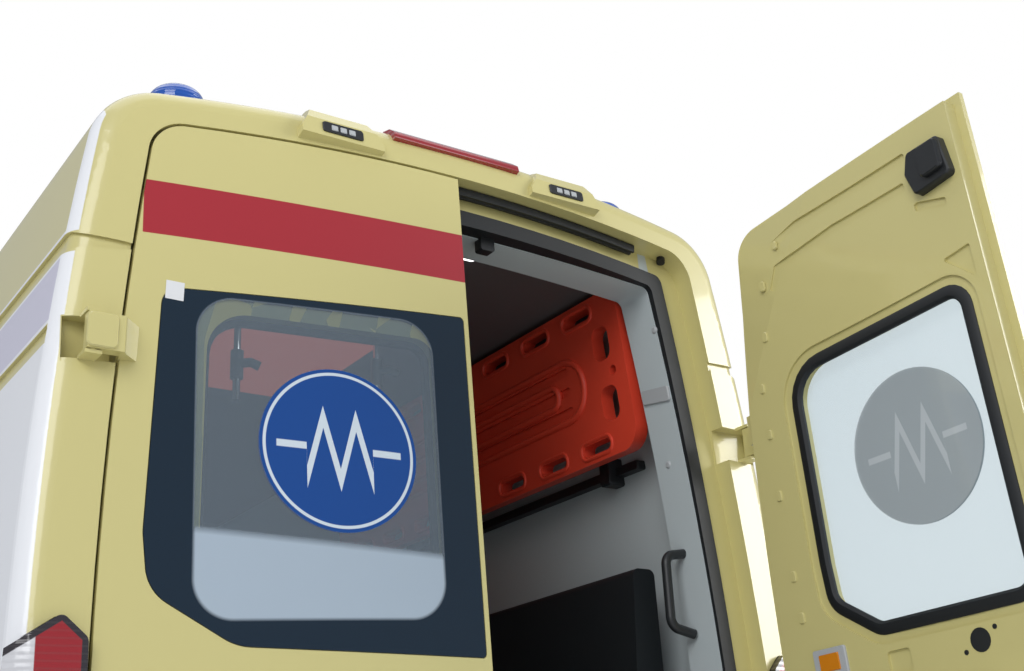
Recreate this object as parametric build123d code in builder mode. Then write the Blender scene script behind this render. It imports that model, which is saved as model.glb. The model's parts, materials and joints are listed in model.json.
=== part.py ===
from build123d import *
import os
from math import sqrt

os.makedirs("parts", exist_ok=True)

# Driving dimensions in millimetres. +X is the vehicle's right, +Y is forward and +Z is up.
# The origin is on the road, midway along the vehicle with its right rear door standing open.
REAR_Y = -2500          # rear skin on the centre line, at LEAN_Z above the road
LEAN_Z = 1700
REAR_LEAN = 0.053       # the rear leans forward by this much for each unit of height
REAR_BOW_R = 7940       # plan radius of the rear skin
NOSE_Y = 3400           # front of the bumper
BASE_Z = 230            # lowest edge of the front bumper
SILL_Z = 400
FLOOR_Z = 640           # load floor
BELT_Z = 1050           # where the body is widest
ROOF_Z = 2590
HALF_BASE = 985
HALF_BELT = 1030
HALF_ROOF = 905
ROOF_DROP = 58          # from the roof's crown to its theoretical corner
SHOULDER_R = 170
CORNER_R = 58           # rounded rear edges of the body
WALL = 50               # thickness of a double-skinned body wall or door
SKIN = 8                # thickness of a wing or bumper moulding
LINING = 115            # from the outer skin to the lining's outer face
LINING_T = 8
NOSE_AXIS_Y = -1000     # centre of the nose's plan curve
NOSE_R = NOSE_Y - NOSE_AXIS_Y
WHEELBASE = 3750
REAR_AXLE_Y = -1362
FRONT_AXLE_Y = REAR_AXLE_Y + WHEELBASE
HALF_TRACK = 868
TYRE_R = 355
RIM_R = 203             # bead seat of a sixteen inch rim
ARCH_R = 425
ROOF_SPLIT_Z = 2150     # seam between the body side and the roof moulding
FRAME_DEPTH = 105       # from the rear skin to the seam of the corner panels
GAP = 7                 # shut line round a door
HEM = 14                # thickness of a rear door's hem, with the inner panel left off
REBATE = 76             # depth of the rear doorway's rebate
DOORWAY_HALF = 870      # half width of the rear doorway at LEAN_Z
DOORWAY_TOP = 2488
DOORWAY_BASE = 580
HINGE_X = 923
HINGE_OUT = 17          # hinge pin's place ahead of REAR_Y
HINGE_TILT_X = -0.014   # the pins' lean for each unit of height, on the right door
HINGE_TILT_Y = 0.022
HINGE_LEVELS = (1885, 760)
HINGE_ROOM_X = (970, 998)   # how far out the corner is cut back at each hinge
REAR_DOOR_OPEN = 87.8   # the right rear door's angle from shut
SIDES = (("left", -1), ("right", 1))
LONG = 4000             # reach of the cutting regions
GLASS_T = 6
BONNET_T = 20
LAMP_DEPTH = 30         # tail lamp, inwards and proud of the body
LAMP_PROUD = 22
PRESSING = 7            # depth of the pressings in a rear door's inner panel
HEM_W = 22              # width of a rear door's hem
LIP = 62                # width of the rear doorway's lip
PIN_R = 8
FLOOR_T = 55
HOUSE_X = 545           # inner wall of the wheel houses
BULKHEAD_Y = 1150
WING_Y = 2330           # shut line between cab door and front wing
BUMPER_TOP = 690
CAB_PIN_X = 990         # pin line of a cab door
CAB_PIN_Y = 2275
CAB_HINGES = (1040, 1320)
BONNET_PIN = (2625, 1380)   # y and z of the bonnet's pin line
DISC_X = 62             # a wheel's mounting face, outboard of its middle
SPIGOT_R = 41.7
KING_LOW = (790, 215)   # lower ball joint, x and z
KING_TOP = (640, 900)
BOARD_L = 1830          # spine board
BOARD_W = 490
BOARD_T = 45
HAND_HOLES = (190, 410, 640, 1190, 1420, 1640)
HAND_HOLE_L = 130

# Outlines in side view, as corners (y, z)
CAB_DOOR = (
    (1215, 600), (1850, 600), (1900, 800), (2040, 905), (2160, 965), (2322, 965),
    (2322, 1384), (2205, 1396), (1745, 2050), (1215, 2070),
)
CAB_DOORWAY = (
    (1208, 593), (1854, 593), (1906, 794), (2044, 898), (2163, 958), (2329, 958),
    (2329, 1391), (2211, 1403), (1748, 2057), (1208, 2077),
)
CAB_GLASS = ((1290, 1330), (2145, 1330), (2136, 1400), (1718, 1990), (1290, 1995))
CAB_PANE = ((1270, 1312), (2168, 1312), (2156, 1408), (1731, 2006), (1270, 2014))
SLIDING_DOOR = ((20, 560), (1130, 560), (1130, 2080), (20, 2080))
SIDE_WINDOW = ((110, 1330), (1040, 1330), (1040, 1960), (110, 1960))
SIDE_PANE = ((85, 1305), (1065, 1305), (1065, 1985), (85, 1985))
SCREEN = ((1600, 1445), (2900, 1445), (2900, 2085), (1600, 2085))
SCREEN_PANE = ((1600, 1418), (2900, 1418), (2900, 2110), (1600, 2110))
SCREEN_X = 800
UPPER_GROOVE = ((-2468, 2113), (-2390, 2090), (1100, 2090), (1100, 2140), (-2390, 2140))
LOWER_GROOVE = ((-2385, 1880), (-30, 1880), (-30, 1924), (-2385, 1924))

# Outlines seen from behind or ahead, as corners (x, z) of the right side
LAMP = ((894, 890), (894, 1262), (944, 1308), (1100, 1200), (1100, 890))
LAMP_RADII = (15, 20, 15, 20, 15)
HEADLAMP = ((560, 830), (900, 860), (960, 1090), (700, 1082), (580, 1010))
# Outline and corner radius of each pressing in the inner panel of a rear door
DOOR_PRESSINGS = (
    (((173, 2370), (551, 2360), (684, 2330), (698, 2352), (555, 2384), (173, 2394)), 8),
    (((193, 2297), (430, 2294), (630, 2272),
      (656, 2220), (680, 2230), (650, 2293), (436, 2318), (193, 2321)), 8),
    (((86, 2204), (178, 2232), (178, 2256), (86, 2228)), 8),
    (((54, 2005), (139, 2083), (54, 2092)), 6),
    (((470, 1182), (538, 1182), (538, 1236), (470, 1236)), 10),
    (((130, 700), (716, 700), (716, 1130), (130, 1130)), 40),
)

# Outlines in plan view, as corners (x, y) of the right side
CAB_HINGE_ARM = ((7, -7), (-80, -7), (-80, 85), (-62, 85), (-62, 11), (7, 11))
MIRROR = ((1062, 2245), (1237, 2190), (1237, 2150), (1062, 2170))


def half_doorway(z):
    """Half width of the rear doorway at height z."""
    up = (z - LEAN_Z) / 1000
    return DOORWAY_HALF - 55 * up - 43 * up * up


def rear_skin(x, z):
    """Y of the rear skin at x and height z."""
    return REAR_Y + REAR_LEAN * (z - LEAN_Z) + x * x / (2 * REAR_BOW_R)


def body_form(inset, nose=True):
    """The whole body's outer form, shrunk by inset, or only its straight rear part."""
    tail = Plane(origin=(0, REAR_Y, LEAN_Z), x_dir=(1, 0, 0), z_dir=(0, REAR_LEAN, 1))
    bow_x = 1300
    bow_y = REAR_BOW_R - sqrt(REAR_BOW_R**2 - bow_x**2)
    with BuildPart() as form:
        with BuildSketch(Plane.XZ):
            with BuildLine():
                ThreePointArc((HALF_BASE, BASE_Z), (HALF_BELT, BELT_Z), (HALF_ROOF, ROOF_Z - ROOF_DROP))
                ThreePointArc((HALF_ROOF, ROOF_Z - ROOF_DROP), (0, ROOF_Z), (-HALF_ROOF, ROOF_Z - ROOF_DROP))
                ThreePointArc((-HALF_ROOF, ROOF_Z - ROOF_DROP), (-HALF_BELT, BELT_Z), (-HALF_BASE, BASE_Z))
                Line((-HALF_BASE, BASE_Z), (HALF_BASE, BASE_Z))
            section = make_face()
            fillet(section.vertices().sort_by(Axis.Y)[-2:], SHOULDER_R)
            if inset:
                offset(amount=-inset, kind=Kind.INTERSECTION, mode=Mode.REPLACE)
                Rectangle(2 * HALF_BELT, 2 * ROOF_Z, align=(Align.MIN, Align.MIN), mode=Mode.INTERSECT)
                mirror(about=Plane.YZ)
        extrude(amount=3600, both=True)
        with BuildSketch(tail):
            with BuildLine():
                ThreePointArc((-bow_x, bow_y), (0, 0), (bow_x, bow_y))
                Polyline((bow_x, bow_y), (bow_x, 7000), (-bow_x, 7000), (-bow_x, bow_y))
            make_face()
            if inset:
                offset(amount=-inset, kind=Kind.INTERSECTION, mode=Mode.REPLACE)
        extrude(amount=3000, both=True, mode=Mode.INTERSECT)
        if inset < CORNER_R:
            rear_edges = [
                edge for edge in form.edges()
                if edge.center().Y < REAR_Y + 200 and edge.bounding_box().max.Z > BASE_Z + 400
            ]
            fillet(rear_edges, CORNER_R - inset)
        if nose:
            with BuildSketch(Plane(origin=(0, NOSE_AXIS_Y, 0), x_dir=(0, -1, 0), z_dir=(-1, 0, 0))):
                with BuildLine():
                    Polyline((-300, 2640), (-300, BASE_Z), (NOSE_R - 110, BASE_Z))
                    ThreePointArc((NOSE_R - 110, BASE_Z), (NOSE_R - 25, 330), (NOSE_R, 480))
                    Line((NOSE_R, 480), (NOSE_R, 600))
                    ThreePointArc((NOSE_R, 600), (NOSE_R - 15, 850), (NOSE_R - 70, 1060))
                    ThreePointArc((NOSE_R - 70, 1060), (NOSE_R - 110, 1130), (NOSE_R - 200, 1180))
                    ThreePointArc((NOSE_R - 200, 1180), (NOSE_R - 480, 1310), (NOSE_R - 800, 1400))
                    ThreePointArc((NOSE_R - 800, 1400), (NOSE_R - 1205, 1790), (NOSE_R - 1570, 2130))
                    ThreePointArc((NOSE_R - 1570, 2130), (NOSE_R - 1980, 2445), (NOSE_R - 2500, 2600))
                    Line((NOSE_R - 2500, 2600), (-300, 2640))
                make_face()
                if inset:
                    offset(amount=-inset, kind=Kind.INTERSECTION, mode=Mode.REPLACE)
                Rectangle(6000, 3000, align=(Align.MIN, Align.MIN), mode=Mode.INTERSECT)
            revolve(axis=Axis((0, NOSE_AXIS_Y, 0), (0, 0, 1)), mode=Mode.INTERSECT)
            with BuildSketch(Plane.XY):
                with BuildLine():
                    Polyline((0, -2700), (1045, -2700), (1045, 1500))
                    ThreePointArc((1045, 1500), (1020, 2450), (945, 3080))
                    ThreePointArc((945, 3080), (830, 3330), (560, 3450))
                    Line((560, 3450), (0, 3450))
                    mirror(about=Plane.YZ)
                make_face()
                if inset:
                    offset(amount=-inset, mode=Mode.REPLACE)
            extrude(amount=2700, mode=Mode.INTERSECT)
    return form.part


def side_prism(points, reach=1300, start=0, rounding=0):
    """A prism along X through both flanks, from a side-view outline of (y, z) points."""
    with BuildPart() as prism:
        with BuildSketch(Plane.YZ.offset(start)) as outline:
            with BuildLine():
                Polyline(*points, close=True)
            make_face()
            if rounding:
                fillet(outline.vertices(), rounding)
        extrude(amount=reach, both=start == 0)
    return prism.part


def doorway_prism(shrink, front, base=DOORWAY_BASE, radius=90):
    """The rear doorway's opening, shrunk all round and cut from behind to the plane at front."""
    half_base = half_doorway(base) - shrink
    half_mid = half_doorway(1550) - shrink
    half_top = half_doorway(2500) - shrink
    top_mid = DOORWAY_TOP - shrink
    top_side = top_mid - 63 * (half_top / 1000) ** 2
    with BuildPart() as prism:
        with BuildSketch(Plane.XZ.offset(-REAR_Y + 400)) as outline:
            with BuildLine():
                ThreePointArc((half_base, base), (half_mid, 1550), (half_top, top_side))
                ThreePointArc((half_top, top_side), (0, top_mid), (-half_top, top_side))
                ThreePointArc((-half_top, top_side), (-half_mid, 1550), (-half_base, base))
                Line((-half_base, base), (half_base, base))
            make_face()
            fillet(outline.vertices().group_by(Axis.Y)[-1], max(radius - shrink, 20))
        extrude(amount=-(400 + front))
    return prism.part


def window_prism(side, grow, start, depth):
    """A rear door's window opening, seen from behind, grown all round."""
    # Corner points of the clear glass on the closed door, x from the centre line outwards.
    corners = [(104, 1288), (545, 1292), (672, 1378), (676, 1480), (664, 1990), (104, 2008)]
    radii = [50, 60, 60, 60, 100, 50]
    with BuildPart() as prism:
        with BuildSketch(Plane.XZ.offset(-REAR_Y + start)):
            with BuildLine():
                FilletPolyline(*[(side * x, z) for x, z in corners], radius=radii, close=True)
            make_face()
            if grow:
                offset(amount=grow, mode=Mode.REPLACE)
        extrude(amount=-depth)
    return prism.part


def glass_prism(side, shrink, start, depth):
    """The outline of a rear door's bonded glass, seen from behind."""
    corners = [(16, 1252), (600, 1256), (782, 1360), (794, 1480), (768, 2030), (16, 2085)]
    radii = [12, 120, 90, 60, 45, 12]
    with BuildPart() as prism:
        with BuildSketch(Plane.XZ.offset(-REAR_Y + start)) as outline:
            with BuildLine():
                FilletPolyline(*[(side * x, z) for x, z in corners], radius=radii, close=True)
            make_face()
            if shrink:
                offset(amount=-shrink, mode=Mode.REPLACE)
        extrude(amount=-depth)
    return prism.part


def block(low, high):
    """A plain box between two corners, used as a cutting or keeping region."""
    with BuildPart() as box:
        with Locations(low):
            Box(*[b - a for a, b in zip(low, high)], align=(Align.MIN, Align.MIN, Align.MIN))
    return box.part


def grown(points, amount):
    """The corners of an upright rectangle, moved outwards by amount."""
    mid_y = sum(y for y, _ in points) / len(points)
    mid_z = sum(z for _, z in points) / len(points)
    return [(y + (amount if y > mid_y else -amount), z + (amount if z > mid_z else -amount)) for y, z in points]


def bonnet_prism(base, grow):
    """The bonnet's outline from above, grown at its sides and rear edge."""
    with BuildPart() as prism:
        with BuildSketch(Plane.XY.offset(base)):
            with BuildLine():
                Polyline(
                    (-700 - grow, 2645 - 1.4 * grow), (700 + grow, 2645 - 1.4 * grow), (640 + grow, 3420),
                    (-640 - grow, 3420), close=True,
                )
            make_face()
        extrude(amount=500)
    return prism.part


def king_pin(side):
    """The lower end and the direction of a front wheel's steering line."""
    low = Vector(side * KING_LOW[0], FRONT_AXLE_Y, KING_LOW[1])
    line = Vector(side * (KING_TOP[0] - KING_LOW[0]), 0, KING_TOP[1] - KING_LOW[1]).normalized()
    return low, line


def hinge_axis(side):
    """The pin axis of a rear door."""
    return Axis((side * HINGE_X, REAR_Y + HINGE_OUT, LEAN_Z), (side * HINGE_TILT_X, HINGE_TILT_Y, 1))


def shaped(form, keep=(), cut=()):
    """A body form kept inside the keep regions and cleared by the cut regions, in their order."""
    with BuildPart() as shape:
        add(form)
        for region in keep:
            add(region, mode=Mode.INTERSECT)
        for region in cut:
            add(region, mode=Mode.SUBTRACT)
    return shape.part


def flank_cut(axle_y, radius, inner, outer_x=1300, height=TYRE_R + 10):
    """Two cylinders along X, one in each flank, round an axle."""
    with BuildPart() as cut:
        for _, side in SIDES:
            with BuildSketch(Plane.YZ.offset(side * inner)):
                with Locations((axle_y, height)):
                    Circle(radius)
            extrude(amount=side * (outer_x - inner))
    return cut.part


def behind(depth):
    """All that lies behind a plane that leans with the rear, depth ahead of the rear skin."""
    with BuildPart() as region:
        with BuildSketch(Plane(origin=(0, REAR_Y + depth, LEAN_Z), x_dir=(1, 0, 0), z_dir=(0, REAR_LEAN, 1))):
            Rectangle(2 * LONG, LONG, align=(Align.CENTER, Align.MAX))
        extrude(amount=LONG, both=True)
    return region.part


def wheel_plane(side, axle_y):
    """A plane whose local x runs outboard along the axle and local y upwards."""
    return Plane(origin=(side * HALF_TRACK, axle_y, TYRE_R), x_dir=(side, 0, 0), z_dir=(0, -side, 0))


def hub_plane(side, axle_y, x):
    """A plane across a wheel's axle at x from the middle of the vehicle, facing outboard."""
    return Plane(origin=(side * x, axle_y, TYRE_R), x_dir=(0, 1, 0), z_dir=(side, 0, 0))


outer = body_form(0)
glass_form = body_form(GLASS_T)
skin_form = body_form(SKIN)
hem_form = body_form(HEM)
bonnet_form = body_form(BONNET_T)
lamp_core = body_form(LAMP_DEPTH)
pocket_core = body_form(LAMP_DEPTH + 1)
pressing_form = body_form(WALL - PRESSING)
panel_form = body_form(WALL - 5)
wall_form = body_form(WALL)
seal_form = body_form(WALL + 6)
rebate_form = body_form(REBATE)
seam_form = body_form(FRAME_DEPTH)
lining_form = body_form(LINING)
cabin_form = body_form(LINING + LINING_T)
proud_form = body_form(-LAMP_PROUD, nose=False)

# Regions that several panels share
left_half = block((-LONG, -LONG, 0), (0, LONG, LONG))
right_half = block((0, -LONG, 0), (LONG, LONG, LONG))
halves = {-1: left_half, 1: right_half}
frame_region = block((-LONG, -LONG, SILL_Z), (LONG, LONG, LONG))
under_floor = block((-LONG, -LONG, 0), (LONG, LONG, FLOOR_Z - FLOOR_T))
behind_seam = behind(FRAME_DEPTH)
surround_zone = behind(FRAME_DEPTH + 120)
front_arch = flank_cut(FRONT_AXLE_Y, ARCH_R, HOUSE_X + 15)
rear_arch = flank_cut(REAR_AXLE_Y, ARCH_R, HOUSE_X + 15)
screen_hole = side_prism(SCREEN, reach=SCREEN_X)
cab_doorway = side_prism(CAB_DOORWAY, rounding=24)
left_window = side_prism(SIDE_WINDOW, reach=-1300, start=-1, rounding=70)
right_window = side_prism(SIDE_WINDOW, reach=1300, start=1, rounding=70)
sliding_flange = side_prism(grown(SLIDING_DOOR, -30), reach=1300, start=1, rounding=40)

# Beds that the bonded glass lies in
left_bed = shaped(side_prism(SIDE_PANE, reach=-1300, start=-1, rounding=85), cut=(glass_form,))
right_bed = shaped(side_prism(SIDE_PANE, reach=1300, start=1, rounding=85), cut=(glass_form,))
front_bed = shaped(side_prism(SCREEN_PANE, reach=SCREEN_X + 25), cut=(glass_form,))
cab_bed = shaped(side_prism(CAB_PANE, rounding=40), cut=(glass_form,))

# Body sides, from the corner panels' seam to the windscreen pillars
side_region = side_prism(
    (
        (-2700, SILL_Z), (2322, SILL_Z), (2322, 1392), (2660, 1392),
        (2900, 1700), (2900, ROOF_SPLIT_Z), (-2700, ROOF_SPLIT_Z),
    )
)
sliding_rebate = shaped(side_prism(SLIDING_DOOR, reach=1300, start=1, rounding=60), cut=(panel_form,))
groove_room = shaped(block((-LONG, -LONG, 1500), (LONG, LONG, ROOF_SPLIT_Z)), cut=(skin_form,))
with BuildPart() as rail_grooves:
    for corners in (UPPER_GROOVE, LOWER_GROOVE):
        with BuildSketch(Plane.YZ) as outline:
            with BuildLine():
                Polyline(*corners, close=True)
            make_face()
            fillet(outline.vertices(), 14)
        extrude(amount=1300, both=True)
    add(groove_room, mode=Mode.INTERSECT)

# Bonnet hinge brackets under the scuttle, with their pins and the slots over them
with BuildPart() as bonnet_brackets:
    for _, side in SIDES:
        with BuildSketch(Plane.YZ.offset(side * 190)):
            with Locations((2597, 1384)):
                Rectangle(74, 24)
        extrude(amount=side * 8)
        with BuildSketch(Plane.YZ.offset(side * 190)):
            with Locations(BONNET_PIN):
                Circle(5)
        extrude(amount=side * 34)
with BuildPart() as bonnet_slots:
    with Locations((-211, 2625, 1394), (211, 2625, 1394)):
        Box(24, 34, 18)
with BuildPart() as bonnet_gaps:
    with Locations((-206, 2618, 1365), (206, 2618, 1365)):
        Box(46, 64, 60)
with BuildPart() as left_body_side:
    add(outer)
    add(side_region, mode=Mode.INTERSECT)
    add(left_half, mode=Mode.INTERSECT)
    for cutter in (
        wall_form, behind_seam, left_window, left_bed, cab_doorway, screen_hole, front_arch, rear_arch,
        front_bed, rail_grooves.part, bonnet_slots.part,
    ):
        add(cutter, mode=Mode.SUBTRACT)
    add(shaped(bonnet_brackets.part, cut=(right_half,)))
left_body_side.part.label = "left_body_side"
export_step(left_body_side.part, "parts/left_body_side.step")
with BuildPart() as right_body_side:
    add(outer)
    add(side_region, mode=Mode.INTERSECT)
    add(right_half, mode=Mode.INTERSECT)
    for cutter in (
        wall_form, behind_seam, sliding_flange, sliding_rebate, cab_doorway, screen_hole, front_arch, rear_arch,
        front_bed, rail_grooves.part, bonnet_slots.part,
    ):
        add(cutter, mode=Mode.SUBTRACT)
    add(shaped(bonnet_brackets.part, cut=(left_half,)))
right_body_side.part.label = "right_body_side"
export_step(right_body_side.part, "parts/right_body_side.step")

# Roof moulding
with BuildPart() as roof_panel:
    add(outer)
    add(block((-LONG, -LONG, ROOF_SPLIT_Z), (LONG, LONG, LONG)), mode=Mode.INTERSECT)
    for cutter in (wall_form, behind_seam, screen_hole, front_bed):
        add(cutter, mode=Mode.SUBTRACT)
roof_panel.part.label = "roof_panel"
export_step(roof_panel.part, "parts/roof_panel.step")

# Rear frame: corner pillars, header and sill round the rear doorway, with the hinge ears and pins
rebate_room = shaped(doorway_prism(0, FRAME_DEPTH + 60, DOORWAY_BASE - 8), cut=(rebate_form,))
with BuildPart() as lamp_room:
    for _, side in SIDES:
        with BuildSketch(Plane.XZ.offset(-REAR_Y + 200)):
            with BuildLine():
                FilletPolyline(*[(side * x, z) for x, z in LAMP], radius=LAMP_RADII, close=True)
            make_face()
            offset(amount=1, mode=Mode.REPLACE)
        extrude(amount=-251)
    add(pocket_core, mode=Mode.SUBTRACT)
with BuildPart() as hinge_rooms:
    for level, reach in zip(HINGE_LEVELS, HINGE_ROOM_X):
        room_y = max(REAR_Y + 75, rear_skin(half_doorway(level), level) + 48)
        for _, side in SIDES:
            x_near, x_far = sorted((side * (half_doorway(level) - 8), side * reach))
            with Locations((x_near, REAR_Y - 100, level - 48)):
                Box(x_far - x_near, room_y - REAR_Y + 100, 96, align=(Align.MIN, Align.MIN, Align.MIN))
with BuildPart() as rear_frame:
    add(outer)
    add(behind_seam, mode=Mode.INTERSECT)
    add(frame_region, mode=Mode.INTERSECT)
    for cutter in (
        doorway_prism(LIP, FRAME_DEPTH + 60, DOORWAY_BASE + 10, 90), rebate_room, lamp_room.part,
        hinge_rooms.part, rail_grooves.part,
    ):
        add(cutter, mode=Mode.SUBTRACT)
    for _, side in SIDES:
        pin = hinge_axis(side)
        for level in HINGE_LEVELS:
            rise = (level - LEAN_Z) / pin.direction.Z
            foot = pin.position + pin.direction * (rise - 48)
            pin_y = REAR_Y + HINGE_OUT + HINGE_TILT_Y * (level - LEAN_Z)
            with BuildSketch(Plane(origin=foot, z_dir=pin.direction)):
                Circle(PIN_R)
            extrude(amount=96)
            for low in (level - 50, level + 42):
                with BuildSketch(Plane.XY.offset(low)):
                    with Locations((side * (HINGE_X + HINGE_TILT_X * (level - LEAN_Z)), pin_y + 16)):
                        Rectangle(36, 50)
                extrude(amount=8)
rear_frame.part.label = "rear_frame"
export_step(rear_frame.part, "parts/rear_frame.step")

# Tail lamps, proud of the corners, and the high brake lamp along the roof's rear edge
with BuildPart() as brake_strip:
    with BuildSketch(Plane.YZ.offset(-190)):
        with BuildLine():
            Polyline(
                (REAR_Y + 37, 2552), (REAR_Y + 42, 2570), (REAR_Y + 66, 2589), (REAR_Y + 100, 2598),
                (REAR_Y + 100, 2560), (REAR_Y + 60, 2545), close=True,
            )
        make_face()
    extrude(amount=380)
with BuildPart() as rear_lamps:
    for _, side in SIDES:
        with BuildSketch(Plane.XZ.offset(-REAR_Y + 200)):
            with BuildLine():
                FilletPolyline(*[(side * x, z) for x, z in LAMP], radius=LAMP_RADII, close=True)
            make_face()
        extrude(amount=-250)
    add(proud_form, mode=Mode.INTERSECT)
    add(lamp_core, mode=Mode.SUBTRACT)
    add(shaped(brake_strip.part, cut=(outer,)))
rear_lamps.part.label = "rear_lamps"
export_step(rear_lamps.part, "parts/rear_lamps.step")

# Rear doors and their glass, made shut; the right one then swings on its pins
for name, side in SIDES:
    pin = hinge_axis(side)
    near, far = sorted((side * 4, side * 1300))
    half = block((near, -LONG, 0), (far, LONG, LONG))
    inner_near, inner_far = sorted((side * (4 + HEM_W), side * 1300))
    inner_half = block((inner_near, -LONG, 0), (inner_far, LONG, LONG))
    inner_panel = shaped(doorway_prism(GAP + HEM_W, FRAME_DEPTH, DOORWAY_BASE + HEM_W), keep=(inner_half,))
    hem_room = shaped(hem_form, keep=(behind_seam,), cut=(inner_panel,))
    with BuildPart() as pressings:
        for corners, radius in DOOR_PRESSINGS:
            with BuildSketch(Plane.XZ.offset(-REAR_Y + 300)) as outline:
                with BuildLine():
                    Polyline(*[(side * x, z) for x, z in corners], close=True)
                make_face()
                fillet(outline.vertices(), radius)
            extrude(amount=-500)
        add(pressing_form, mode=Mode.INTERSECT)
    with BuildPart() as door:
        add(outer)
        add(doorway_prism(GAP, FRAME_DEPTH, DOORWAY_BASE), mode=Mode.INTERSECT)
        add(half, mode=Mode.INTERSECT)
        add(wall_form, mode=Mode.SUBTRACT)
        add(hem_room, mode=Mode.SUBTRACT)
        add(window_prism(side, 0, 300, 500), mode=Mode.SUBTRACT)
        add(shaped(window_prism(side, 38, 300, 500), keep=(pressing_form,)), mode=Mode.SUBTRACT)
        add(shaped(glass_prism(side, 0, 300, 500), cut=(glass_form,)), mode=Mode.SUBTRACT)
        add(pressings.part, mode=Mode.SUBTRACT)
        for level in HINGE_LEVELS:
            pin_x = HINGE_X + HINGE_TILT_X * (level - LEAN_Z)
            pin_y = REAR_Y + HINGE_OUT + HINGE_TILT_Y * (level - LEAN_Z)
            edge = half_doorway(level)
            skin_y = rear_skin(edge - 20, level)
            with BuildSketch(Plane.XY.offset(level - 40)):
                with BuildLine():
                    Polyline(
                        *[(side * x, y) for x, y in (
                            (edge - 56, skin_y + 12), (edge - 56, skin_y + 40), (edge - 10, skin_y + 40),
                            (edge + 2, pin_y + 15), (pin_x + 15, pin_y + 15), (pin_x + 15, pin_y - 15),
                            (edge, pin_y - 15), (edge - 6, min(skin_y + 12, pin_y - 5)),
                        )],
                        close=True,
                    )
                make_face()
            extrude(amount=80)
            rise = (level - LEAN_Z) / pin.direction.Z
            foot = pin.position + pin.direction * (rise - 60)
            with BuildSketch(Plane(origin=foot, z_dir=pin.direction)):
                Circle(PIN_R + 0.3)
            extrude(amount=120, mode=Mode.SUBTRACT)
    with BuildPart() as glass:
        add(outer)
        add(glass_prism(side, 2, 300, 500), mode=Mode.INTERSECT)
        add(glass_form, mode=Mode.SUBTRACT)
    turn = REAR_DOOR_OPEN if side > 0 else 0
    for part, kind in ((door.part, "door"), (glass.part, "glass")):
        hung = part.rotate(pin, turn)
        hung.label = f"{name}_rear_{kind}"
        export_step(hung, f"parts/{name}_rear_{kind}.step")

# Sliding side door, shut in its opening
with BuildPart() as sliding_door:
    add(outer)
    add(side_prism(grown(SLIDING_DOOR, -6), reach=1300, start=1, rounding=54), mode=Mode.INTERSECT)
    for cutter in (panel_form, right_window, right_bed):
        add(cutter, mode=Mode.SUBTRACT)
sliding_door.part.label = "sliding_door"
export_step(sliding_door.part, "parts/sliding_door.step")

# Fixed glass: windscreen and side windows
with BuildPart() as fixed_glass:
    for bed in (front_bed, left_bed, right_bed):
        add(shaped(outer, keep=(bed,)))
fixed_glass.part.label = "fixed_glass"
export_step(fixed_glass.part, "parts/fixed_glass.step")

# Floor with its wheel houses, and the bulkhead
with BuildPart() as rear_houses:
    add(flank_cut(REAR_AXLE_Y, ARCH_R + 25, HOUSE_X))
    add(rear_arch, mode=Mode.SUBTRACT)
    add(wall_form, mode=Mode.INTERSECT)
    add(under_floor, mode=Mode.SUBTRACT)
with BuildPart() as floor_pan:
    add(wall_form)
    add(block((-1300, -LONG, FLOOR_Z - FLOOR_T), (1300, 2320, FLOOR_Z)), mode=Mode.INTERSECT)
    for cutter in (behind_seam, flank_cut(FRONT_AXLE_Y, ARCH_R + 26, HOUSE_X - 1), rear_arch):
        add(cutter, mode=Mode.SUBTRACT)
    add(rear_houses.part)
floor_pan.part.label = "floor_pan"
export_step(floor_pan.part, "parts/floor_pan.step")
with BuildPart() as bulkhead:
    add(wall_form)
    add(block((-1300, BULKHEAD_Y, FLOOR_Z), (1300, BULKHEAD_Y + 30, LONG)), mode=Mode.INTERSECT)
    add(block((-350, 0, 1450), (350, LONG, 1850)), mode=Mode.SUBTRACT)
bulkhead.part.label = "bulkhead"
export_step(bulkhead.part, "parts/bulkhead.step")

# Lining of the load space, with the moulded surround of the rear doorway
lining_zone = block((-1300, -LONG, FLOOR_Z), (1300, BULKHEAD_Y, LONG))
with BuildPart() as surround:
    add(wall_form)
    add(surround_zone, mode=Mode.INTERSECT)
    add(lining_zone, mode=Mode.INTERSECT)
    add(behind_seam, mode=Mode.SUBTRACT)
    add(doorway_prism(108, 500, FLOOR_Z - 50, 130), mode=Mode.SUBTRACT)
with BuildPart() as interior_lining:
    add(lining_form)
    add(lining_zone, mode=Mode.INTERSECT)
    for cutter in (
        cabin_form, surround_zone, left_window, sliding_flange,
        flank_cut(REAR_AXLE_Y, ARCH_R + 26, HOUSE_X - 1),
    ):
        add(cutter, mode=Mode.SUBTRACT)
    add(surround.part)
interior_lining.part.label = "interior_lining"
export_step(interior_lining.part, "parts/interior_lining.step")

# Rubber seal on the lip of the rear doorway
with BuildPart() as door_seal:
    add(seal_form)
    add(seam_form, mode=Mode.SUBTRACT)
    add(doorway_prism(LIP, 300, DOORWAY_BASE + 10, 90), mode=Mode.INTERSECT)
    add(doorway_prism(106, 400, DOORWAY_BASE + 40, 130), mode=Mode.SUBTRACT)
    add(behind_seam, mode=Mode.INTERSECT)
door_seal.part.label = "door_seal"
export_step(door_seal.part, "parts/door_seal.step")

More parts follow.
